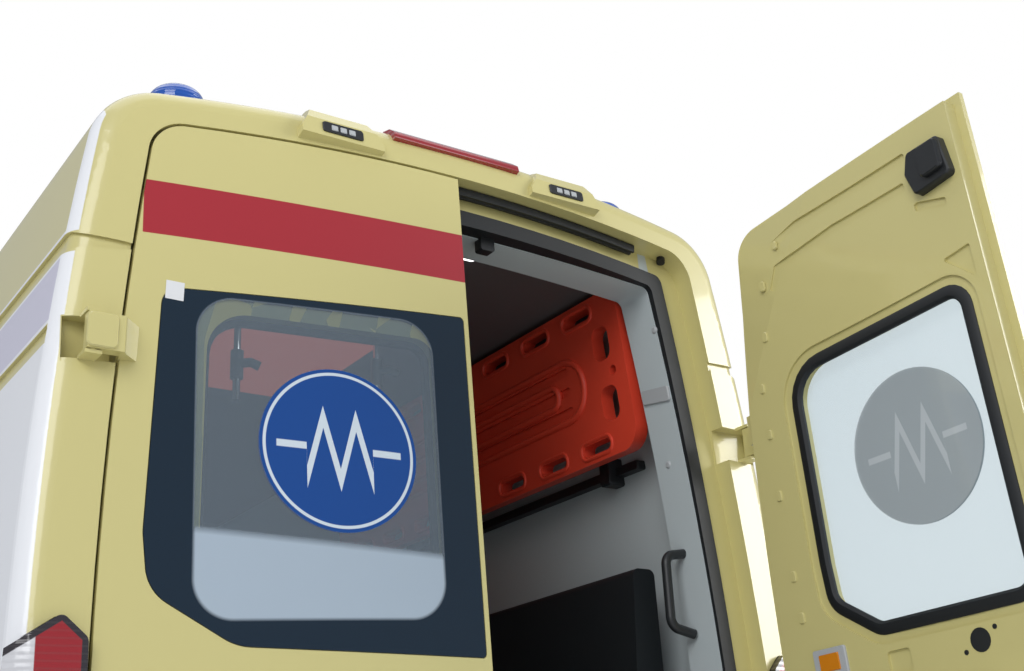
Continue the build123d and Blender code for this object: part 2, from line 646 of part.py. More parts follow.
# Front end: bonnet, headlamps, wings, scuttle and lamp panel, then bumper and grille
with BuildPart() as bonnet:
    add(outer)
    add(bonnet_form, mode=Mode.SUBTRACT)
    add(bonnet_prism(1095, 0), mode=Mode.INTERSECT)
    for _, side in SIDES:
        with BuildSketch(Plane.YZ.offset(side * 203)):
            with Locations(BONNET_PIN):
                Circle(9)
            with BuildLine():
                Polyline((2625, 1371), (2700, 1354), (2700, 1369), (2625, 1389), close=True)
            make_face()
            with Locations(BONNET_PIN):
                Circle(5.3, mode=Mode.SUBTRACT)
        extrude(amount=side * 16)
bonnet.part.label = "bonnet"
export_step(bonnet.part, "parts/bonnet.step")
with BuildPart() as headlamp_zone:
    for _, side in SIDES:
        with BuildSketch(Plane.XZ.offset(-2900)):
            with BuildLine():
                FilletPolyline(*[(side * x, z) for x, z in HEADLAMP], radius=20, close=True)
            make_face()
        extrude(amount=-600)
with BuildPart() as headlamps:
    add(headlamp_zone.part)
    add(outer, mode=Mode.INTERSECT)
    add(panel_form, mode=Mode.SUBTRACT)
headlamps.part.label = "headlamps"
export_step(headlamps.part, "parts/headlamps.step")

with BuildPart() as front_houses:
    add(flank_cut(FRONT_AXLE_Y, ARCH_R + 25, HOUSE_X))
    add(front_arch, mode=Mode.SUBTRACT)
    add(skin_form, mode=Mode.INTERSECT)
    add(under_floor, mode=Mode.SUBTRACT)
    for side in (-1, 1):
        near, far = sorted((side * 940, side * LONG))
        add(block((near, -LONG, 0), (far, WING_Y + 92, LONG)), mode=Mode.SUBTRACT)
    add(block((-730, FRONT_AXLE_Y - 75, 700), (730, FRONT_AXLE_Y + 75, 840)), mode=Mode.SUBTRACT)
with BuildPart() as front_end:
    add(outer)
    add(block((-1300, WING_Y, BUMPER_TOP + 4), (1300, LONG, 1388)), mode=Mode.INTERSECT)
    for cutter in (
        skin_form, bonnet_prism(1088, 8), headlamp_zone.part, block((-530, 2900, 730), (530, LONG, 1060)),
        front_arch, bonnet_gaps.part,
    ):
        add(cutter, mode=Mode.SUBTRACT)
    add(front_houses.part)
    for _, side in SIDES:
        with BuildSketch(Plane.XY.offset(800)):
            with Locations((side * 920, 2382)):
                Rectangle(80, 76)
        extrude(amount=590)
        for level in CAB_HINGES:
            with BuildSketch(Plane.XY.offset(level - 18)):
                with BuildLine():
                    Polyline(*[(side * (CAB_PIN_X + x), CAB_PIN_Y + y) for x, y in CAB_HINGE_ARM], close=True)
                make_face()
            extrude(amount=36)
            with BuildSketch(Plane.XY.offset(level - 50)):
                with Locations((side * CAB_PIN_X, CAB_PIN_Y)):
                    Circle(7)
            extrude(amount=100)
front_end.part.label = "front_end"
export_step(front_end.part, "parts/front_end.step")

with BuildPart() as front_bumper:
    # base height, height, setback from the nose and thickness of each band
    for base, height, setback, depth in ((330, BUMPER_TOP - 330, 3, 12), (322, 12, 3, 60), (245, 80, 48, 12)):
        with BuildSketch(Plane.XY.offset(base)):
            for inset, mode in ((setback, Mode.ADD), (setback + depth, Mode.SUBTRACT)):
                with BuildSketch(mode=Mode.PRIVATE) as ring:
                    with BuildLine():
                        Polyline((0, 2000), (1020, 2000), (1018, 2500))
                        ThreePointArc((1018, 2500), (985, 2860), (935, 3090))
                        ThreePointArc((935, 3090), (820, 3270), (640, 3345))
                        ThreePointArc((640, 3345), (320, 3386), (0, NOSE_Y))
                        mirror(about=Plane.YZ)
                    make_face()
                    offset(amount=-inset, mode=Mode.REPLACE)
                add(ring.sketch, mode=mode)
            with Locations((0, 3280)):
                Rectangle(2600, 1000, mode=Mode.INTERSECT)
        extrude(amount=height)
    add(front_arch, mode=Mode.SUBTRACT)
    with Locations((0, 3300, 480)):
        Box(1120, 400, 160, mode=Mode.SUBTRACT)
    for level in (428, 482):
        with BuildSketch(Plane.XY.offset(level)):
            with Locations((0, NOSE_AXIS_Y)):
                Circle(NOSE_R - 14)
                Circle(NOSE_R - 44, mode=Mode.SUBTRACT)
            with Locations((0, 3000)):
                Rectangle(1126, 2000, mode=Mode.INTERSECT)
        extrude(amount=24)
front_bumper.part.label = "front_bumper"
export_step(front_bumper.part, "parts/front_bumper.step")

# Grille: bars and side cheeks that follow the nose's plan curve
with BuildPart() as grille:
    # base height, depth, setback from the nose and half width of each bar
    for level, depth, setback, half in (
        (732, 50, 10, 528), (800, 34, 22, 520), (868, 34, 32, 520), (936, 34, 44, 520), (1004, 34, 58, 520),
        (1036, 50, 72, 528),
    ):
        with BuildSketch(Plane.XY.offset(level)):
            with Locations((0, NOSE_AXIS_Y)):
                Circle(NOSE_R - setback)
                Circle(NOSE_R - setback - depth, mode=Mode.SUBTRACT)
            with Locations((0, 3000)):
                Rectangle(2 * half, 2000, mode=Mode.INTERSECT)
        extrude(amount=22)
    for _, side in SIDES:
        with BuildSketch(Plane.YZ.offset(side * 510)):
            with BuildLine():
                Polyline(
                    (3290, 732), (3352, 732), (3338, 900), (3290, 1058), (3235, 1058), (3275, 900), close=True,
                )
            make_face()
        extrude(amount=15, both=True)
grille.part.label = "grille"
export_step(grille.part, "parts/grille.step")

# Cab doors on their pins, with glass and mirrors
for name, side in SIDES:
    half = halves[side]
    with BuildPart() as cab_door:
        add(outer)
        add(side_prism(CAB_DOOR, rounding=20), mode=Mode.INTERSECT)
        add(wall_form, mode=Mode.SUBTRACT)
        add(half, mode=Mode.INTERSECT)
        add(side_prism(CAB_GLASS, rounding=30), mode=Mode.SUBTRACT)
        add(cab_bed, mode=Mode.SUBTRACT)
        for level in CAB_HINGES:
            with BuildSketch(Plane.XY.offset(level - 25)):
                with Locations((side * (CAB_PIN_X + 20), CAB_PIN_Y - 16)):
                    Rectangle(132, 122, align=(Align.MAX if side > 0 else Align.MIN, Align.MIN))
            extrude(amount=50, mode=Mode.SUBTRACT)
            with BuildSketch(Plane.XY.offset(level - 60)):
                with Locations((side * CAB_PIN_X, CAB_PIN_Y)):
                    Circle(7.4)
            extrude(amount=120, mode=Mode.SUBTRACT)
    cab_door.part.label = f"{name}_cab_door"
    export_step(cab_door.part, f"parts/{name}_cab_door.step")
    with BuildPart() as cab_glass:
        add(shaped(outer, keep=(cab_bed,)))
        add(half, mode=Mode.INTERSECT)
    cab_glass.part.label = f"{name}_cab_glass"
    export_step(cab_glass.part, f"parts/{name}_cab_glass.step")
    with BuildPart() as mirror_head:
        with BuildSketch(Plane.XY.offset(1390)) as outline:
            with BuildLine():
                Polyline(*[(side * x, y) for x, y in MIRROR], close=True)
            make_face()
            fillet(outline.vertices(), 14)
        extrude(amount=300)
        with BuildSketch(Plane.XY.offset(1430)):
            with Locations((side * 1030, 2215)):
                Rectangle(80, 46)
        extrude(amount=60)
        add(outer, mode=Mode.SUBTRACT)
    mirror_head.part.label = f"{name}_mirror"
    export_step(mirror_head.part, f"parts/{name}_mirror.step")

# Wheels: tyre and rim, turned about X
for end, axle_y in (("front", FRONT_AXLE_Y), ("rear", REAR_AXLE_Y)):
    for name, side in SIDES:
        hub_line = Axis((side * HALF_TRACK, axle_y, TYRE_R), (1, 0, 0))
        with BuildPart() as tyre:
            with BuildSketch(wheel_plane(side, axle_y)):
                with BuildLine():
                    Polyline((-89, RIM_R), (-100, 225))
                    ThreePointArc((-100, 225), (-112.5, 282), (-100, 335))
                    ThreePointArc((-100, 335), (-94, 349), (-80, 353))
                    ThreePointArc((-80, 353), (0, TYRE_R), (80, 353))
                    ThreePointArc((80, 353), (94, 349), (100, 335))
                    ThreePointArc((100, 335), (112.5, 282), (100, 225))
                    Polyline((100, 225), (89, RIM_R), (-89, RIM_R))
                make_face()
            revolve(axis=hub_line)
        tyre.part.label = f"{end}_{name}_tyre"
        export_step(tyre.part, f"parts/{end}_{name}_tyre.step")
        with BuildPart() as rim:
            with BuildSketch(wheel_plane(side, axle_y)):
                with BuildLine():
                    Polyline(
                        (-89, RIM_R), (-89, 194), (-40, 178), (20, 178), (DISC_X - 14, 168), (DISC_X - 14, 130),
                        (DISC_X, 100), (DISC_X, 42), (DISC_X + 12, 42), (DISC_X + 12, 102), (DISC_X - 2, 134),
                        (DISC_X + 2, 180), (89, 194), (89, RIM_R), (-89, RIM_R),
                    )
                make_face()
            revolve(axis=hub_line)
            with BuildSketch(hub_plane(side, axle_y, HALF_TRACK + DISC_X - 40)):
                with PolarLocations(132, 10):
                    Circle(17)
            extrude(amount=80, mode=Mode.SUBTRACT)
        rim.part.label = f"{end}_{name}_rim"
        export_step(rim.part, f"parts/{end}_{name}_rim.step")

# Front knuckles: they turn about the line from the lower joint to the strut's top
for name, side in SIDES:
    low, line = king_pin(side)
    with BuildPart() as knuckle:
        with BuildSketch(Plane(origin=low + line * 24, z_dir=line)):
            Circle(24)
        extrude(amount=330)
        with BuildSketch(hub_plane(side, FRONT_AXLE_Y, 740)):
            Circle(52)
        extrude(amount=HALF_TRACK + DISC_X - 20 - 740)
        with BuildSketch(hub_plane(side, FRONT_AXLE_Y, HALF_TRACK + DISC_X - 28)):
            Circle(75)
        extrude(amount=22)
        with BuildSketch(hub_plane(side, FRONT_AXLE_Y, HALF_TRACK + DISC_X - 28)):
            Circle(SPIGOT_R)
        extrude(amount=46)
    knuckle.part.label = f"{name}_knuckle"
    export_step(knuckle.part, f"parts/{name}_knuckle.step")

# Chassis: rails, cross members, springs, front arms, strut towers and the fuel tank
with BuildPart() as chassis_frame:
    for _, side in SIDES:
        with BuildSketch(Plane.XZ.offset(-REAR_Y - 170)):
            with Locations((side * 400, 525)):
                Rectangle(80, 110)
        extrude(amount=-5350)
    for y in (-2295, -1800, -900, 0, 900, 1700, 2200, 2900):
        with BuildSketch(Plane.XY.offset(470)):
            with Locations((0, y)):
                Rectangle(760, 70)
        extrude(amount=90)
    for _, side in SIDES:
        with BuildSketch(Plane.XY.offset(405)):
            with Locations((side * 480, REAR_AXLE_Y)):
                Rectangle(64, 1240)
        extrude(amount=30)
        for y in (REAR_AXLE_Y - 605, REAR_AXLE_Y + 605):
            with BuildSketch(Plane.XY.offset(405)):
                with Locations((side * 460, y)):
                    Rectangle(104, 30)
            extrude(amount=150)
        with BuildSketch(Plane.XY.offset(186)):
            with BuildLine():
                Polyline(
                    (side * 380, FRONT_AXLE_Y - 160), (side * 380, FRONT_AXLE_Y + 160),
                    (side * 815, FRONT_AXLE_Y + 24), (side * 815, FRONT_AXLE_Y - 24), close=True,
                )
            make_face()
        extrude(amount=28)
        with BuildSketch(Plane.XY.offset(186)):
            with Locations((side * 400, FRONT_AXLE_Y)):
                Rectangle(60, 320)
        extrude(amount=300)
        low, line = king_pin(side)
        with BuildSketch(Plane(origin=low + line * 362, z_dir=line)):
            Circle(22)
        extrude(amount=340)
        with BuildSketch(Plane(origin=low + line * 545, z_dir=line)):
            Circle(62)
        extrude(amount=160)
        with BuildSketch(Plane.XY.offset(840)):
            with Locations((side * 530, FRONT_AXLE_Y)):
                Rectangle(330, 90)
        extrude(amount=40)
        with BuildSketch(Plane.XY.offset(560)):
            with Locations((side * 410, FRONT_AXLE_Y)):
                Rectangle(60, 90)
        extrude(amount=300)
    with BuildSketch(Plane.XY.offset(330)) as tank:
        with Locations((-680, 250)):
            Rectangle(480, 900)
        fillet(tank.vertices(), 60)
    extrude(amount=230)
chassis_frame.part.label = "chassis_frame"
export_step(chassis_frame.part, "parts/chassis_frame.step")

# Rear axle with its hubs
with BuildPart() as rear_axle:
    with BuildSketch(hub_plane(1, REAR_AXLE_Y, -HALF_TRACK - 40)):
        Circle(44)
    extrude(amount=2 * HALF_TRACK + 80)
    for _, side in SIDES:
        for radius, length in ((120, 30), (SPIGOT_R, 60)):
            with BuildSketch(hub_plane(side, REAR_AXLE_Y, HALF_TRACK + 20)):
                Circle(radius)
            extrude(amount=length)
    with BuildSketch(Plane(origin=(-95, REAR_AXLE_Y, TYRE_R - 6), x_dir=(0, 1, 0), z_dir=(1, 0, 0))):
        Circle(112)
    extrude(amount=190)
    with BuildSketch(Plane.XY.offset(350)):
        with Locations((-480, REAR_AXLE_Y), (480, REAR_AXLE_Y)):
            Rectangle(80, 110)
    extrude(amount=55)
rear_axle.part.label = "rear_axle"
export_step(rear_axle.part, "parts/rear_axle.step")

# Engine as one block, and the exhaust
with BuildPart() as engine:
    with BuildSketch(Plane.XY.offset(500)) as outline:
        with Locations((0, 2870)):
            Rectangle(560, 560)
        fillet(outline.vertices(), 40)
    extrude(amount=520)
    add(chassis_frame.part, mode=Mode.SUBTRACT)
engine.part.label = "engine"
export_step(engine.part, "parts/engine.step")
with BuildPart() as exhaust:
    with BuildLine() as route:
        FilletPolyline((250, 2100, 440), (250, 800, 420), (640, 500, 410), (640, -700, 410), radius=90)
    with BuildSketch(Plane(origin=route.line @ 0, z_dir=route.line % 0)):
        Circle(32)
    sweep()
    with BuildSketch(Plane(origin=(640, 260, 410), z_dir=(0, -1, 0))):
        Ellipse(110, 75)
    extrude(amount=620)
exhaust.part.label = "exhaust"
export_step(exhaust.part, "parts/exhaust.step")

# Rear step and corner bumpers
with BuildPart() as rear_step:
    with BuildSketch(Plane.XY.offset(430)):
        with BuildLine():
            Polyline(
                (-1010, REAR_Y + 90), (-1010, REAR_Y - 10), (-860, REAR_Y - 72), (860, REAR_Y - 72),
                (1010, REAR_Y - 10), (1010, REAR_Y + 90), (900, REAR_Y + 90), (860, REAR_Y - 22),
                (-860, REAR_Y - 22), (-900, REAR_Y + 90), close=True,
            )
        make_face()
    extrude(amount=120)
    add(shaped(outer, keep=(frame_region,)), mode=Mode.SUBTRACT)
rear_step.part.label = "rear_step"
export_step(rear_step.part, "parts/rear_step.step")

# Warning beacons: two at the rear corners of the roof and a bar over the cab
with BuildPart() as beacons:
    for _, side in SIDES:
        with BuildSketch(Plane.XY.offset(2480)):
            with Locations((side * 670, REAR_Y + 300)):
                Circle(80)
        extrude(amount=105)
        with BuildSketch(Plane.XY.offset(2585)):
            with Locations((side * 670, REAR_Y + 300)):
                Circle(74)
        extrude(amount=95, taper=3)
    fillet(beacons.edges().filter_by(GeomType.CIRCLE).group_by(Axis.Z)[-1], 42)
    with BuildSketch(Plane.XY.offset(2500)) as outline:
        with Locations((0, 900)):
            Rectangle(1400, 240)
        fillet(outline.vertices(), 90)
    extrude(amount=180)
    add(outer, mode=Mode.SUBTRACT)
beacons.part.label = "beacons"
export_step(beacons.part, "parts/beacons.step")
with BuildPart() as strobe_pods:
    for _, side in SIDES:
        with BuildSketch(Plane.YZ.offset(side * 225)):
            with BuildLine():
                Polyline(
                    (REAR_Y + 28, 2496), (REAR_Y + 36, 2544), (REAR_Y + 56, 2574), (REAR_Y + 100, 2594),
                    (REAR_Y + 155, 2596), (REAR_Y + 155, 2540), (REAR_Y + 75, 2480), close=True,
                )
            make_face()
        extrude(amount=side * 225)
        for end, top in ((224, 282), (451, 402)):
            with BuildSketch(Plane.XZ.offset(-REAR_Y)):
                with BuildLine():
                    Polyline((side * end, 2512), (side * end, 2610), (side * top, 2610), close=True)
                make_face()
            extrude(amount=-200, mode=Mode.SUBTRACT)
    add(outer, mode=Mode.SUBTRACT)
strobe_pods.part.label = "strobe_pods"
export_step(strobe_pods.part, "parts/strobe_pods.step")

# Cab fittings
with BuildPart() as dashboard:
    with BuildSketch(Plane.YZ.offset(-850)):
        with BuildLine():
            Polyline(
                (2090, 1060), (2090, 1230), (2290, 1330), (2540, 1330), (2540, 900), (2300, 900), close=True,
            )
        make_face()
    extrude(amount=1700)
    with BuildSketch(Plane(origin=(-420, 2090, 1160), z_dir=(0, -0.85, 0.53))):
        Circle(28)
    extrude(amount=120)
    with BuildSketch(Plane(origin=(-420, 1988, 1224), z_dir=(0, -0.85, 0.53))):
        Circle(215)
        Circle(188, mode=Mode.SUBTRACT)
        Rectangle(400, 34)
        Rectangle(34, 400)
    extrude(amount=22)
    add(front_end.part, mode=Mode.SUBTRACT)
    add(chassis_frame.part, mode=Mode.SUBTRACT)
dashboard.part.label = "dashboard"
export_step(dashboard.part, "parts/dashboard.step")
with BuildPart() as cab_seats:
    for x in (-420, 420):
        with BuildSketch(Plane.YZ.offset(x - 250)) as outline:
            with BuildLine():
                Polyline(
                    (1330, FLOOR_Z), (1330, 950), (1230, 1640), (1340, 1670), (1450, 1010), (1790, 1020),
                    (1810, 930), (1760, FLOOR_Z), close=True,
                )
            make_face()
            fillet(outline.vertices().sort_by(Axis.Y)[2:], 25)
        extrude(amount=500)
cab_seats.part.label = "cab_seats"
export_step(cab_seats.part, "parts/cab_seats.step")

# Load space: side-facing seat, spine board on the right wall and grab handle
with BuildPart() as attendant_seat:
    with BuildSketch(Plane.XZ.offset(-REAR_Y - 330)) as outline:
        with BuildLine():
            Polyline(
                (330, FLOOR_Z), (330, 1060), (345, 1090), (690, 1090), (715, 1580), (790, 1580), (800, 900),
                (520, 880), (520, FLOOR_Z), close=True,
            )
        make_face()
        fillet(outline.vertices().sort_by(Axis.Y)[2:], 20)
    extrude(amount=-760)
attendant_seat.part.label = "attendant_seat"
export_step(attendant_seat.part, "parts/attendant_seat.step")

board_plane = Plane(origin=(775, REAR_Y + 275, 1930), x_dir=(0, 1, 0), z_dir=(-0.993, 0, -0.11))
board_up = 1 if board_plane.y_dir.Z > 0 else -1
with BuildPart() as spine_board:
    with BuildSketch(board_plane) as outline:
        with Locations((BOARD_L / 2, board_up * BOARD_W / 2)):
            Rectangle(BOARD_L, BOARD_W)
        fillet(outline.vertices(), 70)
    extrude(amount=BOARD_T)
    with BuildSketch(board_plane):
        for along in HAND_HOLES:
            with Locations((along, board_up * 42), (along, board_up * (BOARD_W - 42))):
                SlotOverall(HAND_HOLE_L, 34)
    extrude(amount=BOARD_T, mode=Mode.SUBTRACT)
    with BuildSketch(board_plane) as outline:
        with Locations((95, board_up * (BOARD_W / 2 - 92)), (95, board_up * (BOARD_W / 2 + 92))):
            Rectangle(76, 104)
        fillet(outline.vertices(), 30)
        with Locations((60, board_up * BOARD_W / 2)):
            Circle(15)
    extrude(amount=BOARD_T, mode=Mode.SUBTRACT)
    with BuildSketch(board_plane.offset(BOARD_T)):
        for shift in (-62, 0, 62):
            with Locations((BOARD_L / 2 + 60, board_up * (BOARD_W / 2 + shift))):
                SlotOverall(BOARD_L - 420, 26)
    extrude(amount=-8, mode=Mode.SUBTRACT)
spine_board.part.label = "spine_board"
export_step(spine_board.part, "parts/spine_board.step")

with BuildPart() as grab_handle:
    with BuildLine() as route:
        FilletPolyline(
            (770, REAR_Y + 175, 1592), (700, REAR_Y + 172, 1580), (696, REAR_Y + 168, 1390),
            (770, REAR_Y + 165, 1373), radius=30,
        )
    with BuildSketch(Plane(origin=route.line @ 0, z_dir=route.line % 0)):
        Circle(13)
    sweep()
    add(interior_lining.part, mode=Mode.SUBTRACT)
grab_handle.part.label = "grab_handle"
export_step(grab_handle.part, "parts/grab_handle.step")
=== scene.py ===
import bpy
import bmesh
import json
import math
from mathutils import Matrix, Vector


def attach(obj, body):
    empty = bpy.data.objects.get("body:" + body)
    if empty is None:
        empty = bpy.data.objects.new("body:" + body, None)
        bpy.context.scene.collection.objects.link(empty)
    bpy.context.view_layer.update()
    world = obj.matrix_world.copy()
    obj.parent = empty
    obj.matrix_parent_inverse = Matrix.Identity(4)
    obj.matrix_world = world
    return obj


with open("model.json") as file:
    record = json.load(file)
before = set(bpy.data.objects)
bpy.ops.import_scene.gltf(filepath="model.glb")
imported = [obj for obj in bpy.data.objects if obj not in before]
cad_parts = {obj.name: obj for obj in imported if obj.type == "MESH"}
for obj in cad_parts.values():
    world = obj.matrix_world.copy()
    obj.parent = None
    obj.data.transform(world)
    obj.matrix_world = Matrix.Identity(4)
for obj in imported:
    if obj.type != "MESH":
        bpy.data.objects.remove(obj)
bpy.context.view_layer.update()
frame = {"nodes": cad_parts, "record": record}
nodes = frame["nodes"]

X, Y, Z = Vector((1, 0, 0)), Vector((0, 1, 0)), Vector((0, 0, 1))

# Sizes of the part that the pieces follow, in metres
REAR_Y = -2.5               # the rear skin at its middle, at height LEAN_Z
LEAN_Z = 1.7
LEAN = 0.053                # how far the rear skin leans forward for each metre up
BOW_R = 7.94                # radius of the rear skin's bow in plan
DOOR_T = 0.05
OPEN_DEG = 87.8             # the right rear door as stored
HINGES = (1.885, 0.76)      # heights of the rear doors' hinges
PIN_X, PIN_AHEAD = 0.923, 0.017
PIN_TILT_X, PIN_TILT_Y = -0.014, 0.022

PIN = Vector((PIN_X, REAR_Y + PIN_AHEAD, LEAN_Z))
PIN_DIR = Vector((PIN_TILT_X, PIN_TILT_Y, 1)).normalized()
SWING = (
    Matrix.Translation(PIN)
    @ Matrix.Rotation(math.radians(OPEN_DEG), 4, PIN_DIR)
    @ Matrix.Translation(-PIN)
)
UNSWING = SWING.inverted()


def skin(x, z, depth=0.0):
    """A point on the rear skin, or depth ahead of it."""
    return Vector((x, REAR_Y + LEAN * (z - LEAN_Z) + x * x / (2 * BOW_R) + depth, z))


class Graph:
    """A material's nodes, built from expressions."""

    def __init__(self, name):
        self.mat = bpy.data.materials.new(name)
        self.mat.use_nodes = True
        self.tree = self.mat.node_tree
        self.shader = self.tree.nodes["Principled BSDF"]
        self.coords = None

    def node(self, kind, **settings):
        made = self.tree.nodes.new(kind)
        for key, value in settings.items():
            setattr(made, key, value)
        return made

    def put(self, socket, value):
        if hasattr(value, "node"):
            self.tree.links.new(value, socket)
        else:
            socket.default_value = value

    def math(self, op, a, b=0.0):
        made = self.node("ShaderNodeMath", operation=op)
        self.put(made.inputs[0], a)
        self.put(made.inputs[1], b)
        return made.outputs[0]

    def add(self, a, b):
        return self.math("ADD", a, b)

    def less(self, a, b):
        return self.math("SUBTRACT", a, b)

    def times(self, a, b):
        return self.math("MULTIPLY", a, b)

    def most(self, a, b):
        return self.math("MAXIMUM", a, b)

    def size(self, a):
        return self.math("ABSOLUTE", a)

    def length(self, a, b):
        return self.math("SQRT", self.add(self.math("POWER", a, 2.0), self.math("POWER", b, 2.0)))

    def point(self):
        """The place in the part's frame at rest."""
        if self.coords is None:
            self.coords = self.node("ShaderNodeTexCoord").outputs["Object"]
        return self.coords

    def along(self, row, start=0.0):
        """The place's component along a direction, plus start."""
        dot = self.node("ShaderNodeVectorMath", operation="DOT_PRODUCT")
        self.put(dot.inputs[0], self.point())
        dot.inputs[1].default_value = row
        return self.add(dot.outputs["Value"], start)

    def ahead(self):
        """How far the place is ahead of the leaning rear face, without its bow."""
        return self.along((0, 1, -LEAN), -REAR_Y + LEAN * LEAN_Z)

    def edge(self, value, soft=0.0008):
        """1 where value is below 0, and 0 above."""
        made = self.node("ShaderNodeMapRange")
        self.put(made.inputs["Value"], value)
        made.inputs["From Min"].default_value = -soft
        made.inputs["From Max"].default_value = soft
        made.inputs["To Min"].default_value = 1.0
        made.inputs["To Max"].default_value = 0.0
        return made.outputs[0]

    def box(self, u, v, centre, half, radius):
        """Distance outside a rounded rectangle."""
        a = self.less(self.size(self.less(u, centre[0])), half[0] - radius)
        b = self.less(self.size(self.less(v, centre[1])), half[1] - radius)
        outside = self.length(self.most(a, 0.0), self.most(b, 0.0))
        inside = self.math("MINIMUM", self.most(a, b), 0.0)
        return self.less(self.add(outside, inside), radius)

    def mix(self, share, a, b):
        """Colour a, and b where share is 1."""
        made = self.node("ShaderNodeMix", data_type="RGBA")
        self.put(made.inputs["Factor"], share)
        self.put(made.inputs["A"], a)
        self.put(made.inputs["B"], b)
        return made.outputs["Result"]

    def noise(self, scale, detail=3.0):
        made = self.node("ShaderNodeTexNoise")
        self.put(made.inputs["Vector"], self.point())
        made.inputs["Scale"].default_value = scale
        made.inputs["Detail"].default_value = detail
        return made.outputs["Fac"]

    def bump(self, height, strength, distance=0.001):
        made = self.node("ShaderNodeBump")
        made.inputs["Strength"].default_value = strength
        made.inputs["Distance"].default_value = distance
        self.put(made.inputs["Height"], height)
        self.put(self.shader.inputs["Normal"], made.outputs[0])

    def lens_ribs(self, scale, strength):
        """Level ribs in a moulded lens."""
        made = self.node("ShaderNodeTexWave", wave_type="BANDS", bands_direction="Z")
        self.put(made.inputs["Vector"], self.point())
        made.inputs["Scale"].default_value = scale
        self.bump(made.outputs["Fac"], strength, 0.003)

    def fresnel(self, ior):
        made = self.node("ShaderNodeFresnel")
        made.inputs["IOR"].default_value = ior
        return made.outputs[0]

    def see_through(self, share, tint):
        """Lets light through, tinted, except for the share that stays with the shader."""
        pane = self.node("ShaderNodeBsdfTransparent")
        pane.inputs["Color"].default_value = tint
        mixed = self.node("ShaderNodeMixShader")
        for socket, value in zip(mixed.inputs, (share, pane.outputs[0], self.shader.outputs[0])):
            self.put(socket, value)
        self.put(self.tree.nodes["Material Output"].inputs["Surface"], mixed.outputs[0])

    def set(self, **values):
        for key, value in values.items():
            self.put(self.shader.inputs[key.replace("_", " ")], value)
        return self


YELLOW = (0.60, 0.54, 0.225, 1)
# White of the flanks, also on the corner pillars' sides
SIDE_WHITE = (0.84, 0.85, 0.87, 1)
LAVENDER = (0.60, 0.58, 0.70, 1)
RED = (0.37, 0.012, 0.022, 1)
NAVY = (0.0035, 0.016, 0.032, 1)
SIGN_BLUE, SIGN_LINE = (0.004, 0.06, 0.27, 1), (0.62, 0.70, 0.76, 1)
SIGN_GREY, SIGN_GREY_LINE = (0.40, 0.45, 0.47, 1), (0.55, 0.60, 0.62, 1)
PANE_SHUT, PANE_OPEN = (0.45, 0.54, 0.63, 1), (0.80, 0.86, 0.88, 1)
PANE_TINT, SCREEN_TINT = (0.83, 0.88, 0.90, 1), (0.55, 0.62, 0.62, 1)
LENS_RED, LENS_CLEAR = (0.30, 0.006, 0.012, 1), (0.62, 0.62, 0.64, 1)
LAMP_BEZEL = (0.02, 0.015, 0.02, 1)
BEACON_BLUE, BEACON_FOOT = (0.0, 0.075, 0.42, 1), (0.12, 0.12, 0.13, 1)
LINING_WALL, LINING_CEILING = (0.50, 0.56, 0.57, 1), (0.12, 0.11, 0.11, 1)


def plain(name, colour, rough, grain=60.0, strength=0.02, **more):
    """A plain finish with a fine grain."""
    g = Graph(name)
    g.set(Base_Color=(*colour, 1), Roughness=rough, **more)
    g.bump(g.noise(grain), strength)
    return g.mat


def paint(name):
    """Gloss paint, with a slow unevenness in its shine."""
    g = Graph(name)
    g.set(Roughness=0.34, Coat_Weight=0.5, Coat_Roughness=0.06)
    g.bump(g.noise(7.0, 1.0), 0.12, 0.002)
    return g


yellow = paint("yellow_paint").set(Base_Color=YELLOW).mat

# Areas of a colour, each a rounded rectangle: centre, half size, corner radius.
# The flank's three are in Y and Z, and the door's band in X and Z.
UPPER_RAIL = (-0.64, 2.115), (1.85, 0.026), 0.008
LOWER_RAIL = (-1.21, 1.902), (1.19, 0.023), 0.012
FLANK_BAND = (-0.60, 2.008), (1.80, 0.074), 0.004
DOOR_BAND = (-0.409, 2.250), (0.406, 0.067), 0.002
DOOR_BAND_SLOPE = 0.034
SIDE_WHITE_TOP_Z = 2.56
CORNER_WHITE_X, CORNER_WHITE_AHEAD = 0.90, 0.068

# Flank: white with a pale lavender band, and yellow in the rails and on the roof
g = paint("flank_colours")
y, z = g.along(Y), g.along(Z)
rails = g.most(g.edge(g.box(y, z, *UPPER_RAIL)), g.edge(g.box(y, z, *LOWER_RAIL)))
yellow_shows = g.most(rails, g.edge(g.less(SIDE_WHITE_TOP_Z, z), 0.002))
band = g.edge(g.box(y, z, *FLANK_BAND))
g.set(Base_Color=g.mix(yellow_shows, g.mix(band, SIDE_WHITE, LAVENDER), YELLOW))
flank = g.mat

# Corner pillars and header: yellow, with the flank's white reaching round to the corner's edge
g = paint("corner_paint")
x, y, z = g.size(g.along(X)), g.along(Y), g.along(Z)
mask = g.times(g.edge(g.less(CORNER_WHITE_X, x)), g.edge(g.less(CORNER_WHITE_AHEAD, g.ahead())))
# the cut-outs at the hinges stay yellow, out to each one's reach
for level, reach in zip(HINGES, (0.972, 1.0)):
    notch = g.edge(g.box(x, z, (reach - 0.1, level), (0.1, 0.051), 0.001))
    mask = g.times(mask, g.less(1.0, notch))
rail = g.edge(g.box(y, z, *UPPER_RAIL))
g.set(Base_Color=g.mix(g.times(mask, g.less(1.0, rail)), YELLOW, SIDE_WHITE))
corner = g.mat

# Left rear door: yellow, with a plain red band on its outer face
g = paint("banded_paint")
x, z = g.along(X), g.along(Z)
bow = g.times(g.times(x, x), 0.5 / BOW_R)
outer_face = g.edge(g.less(g.less(g.ahead(), bow), 0.004))
rise = g.less(z, g.times(x, DOOR_BAND_SLOPE))
band = g.edge(g.box(x, rise, *DOOR_BAND))
g.set(Base_Color=g.mix(g.times(band, outer_face), YELLOW, RED))
banded = g.mat

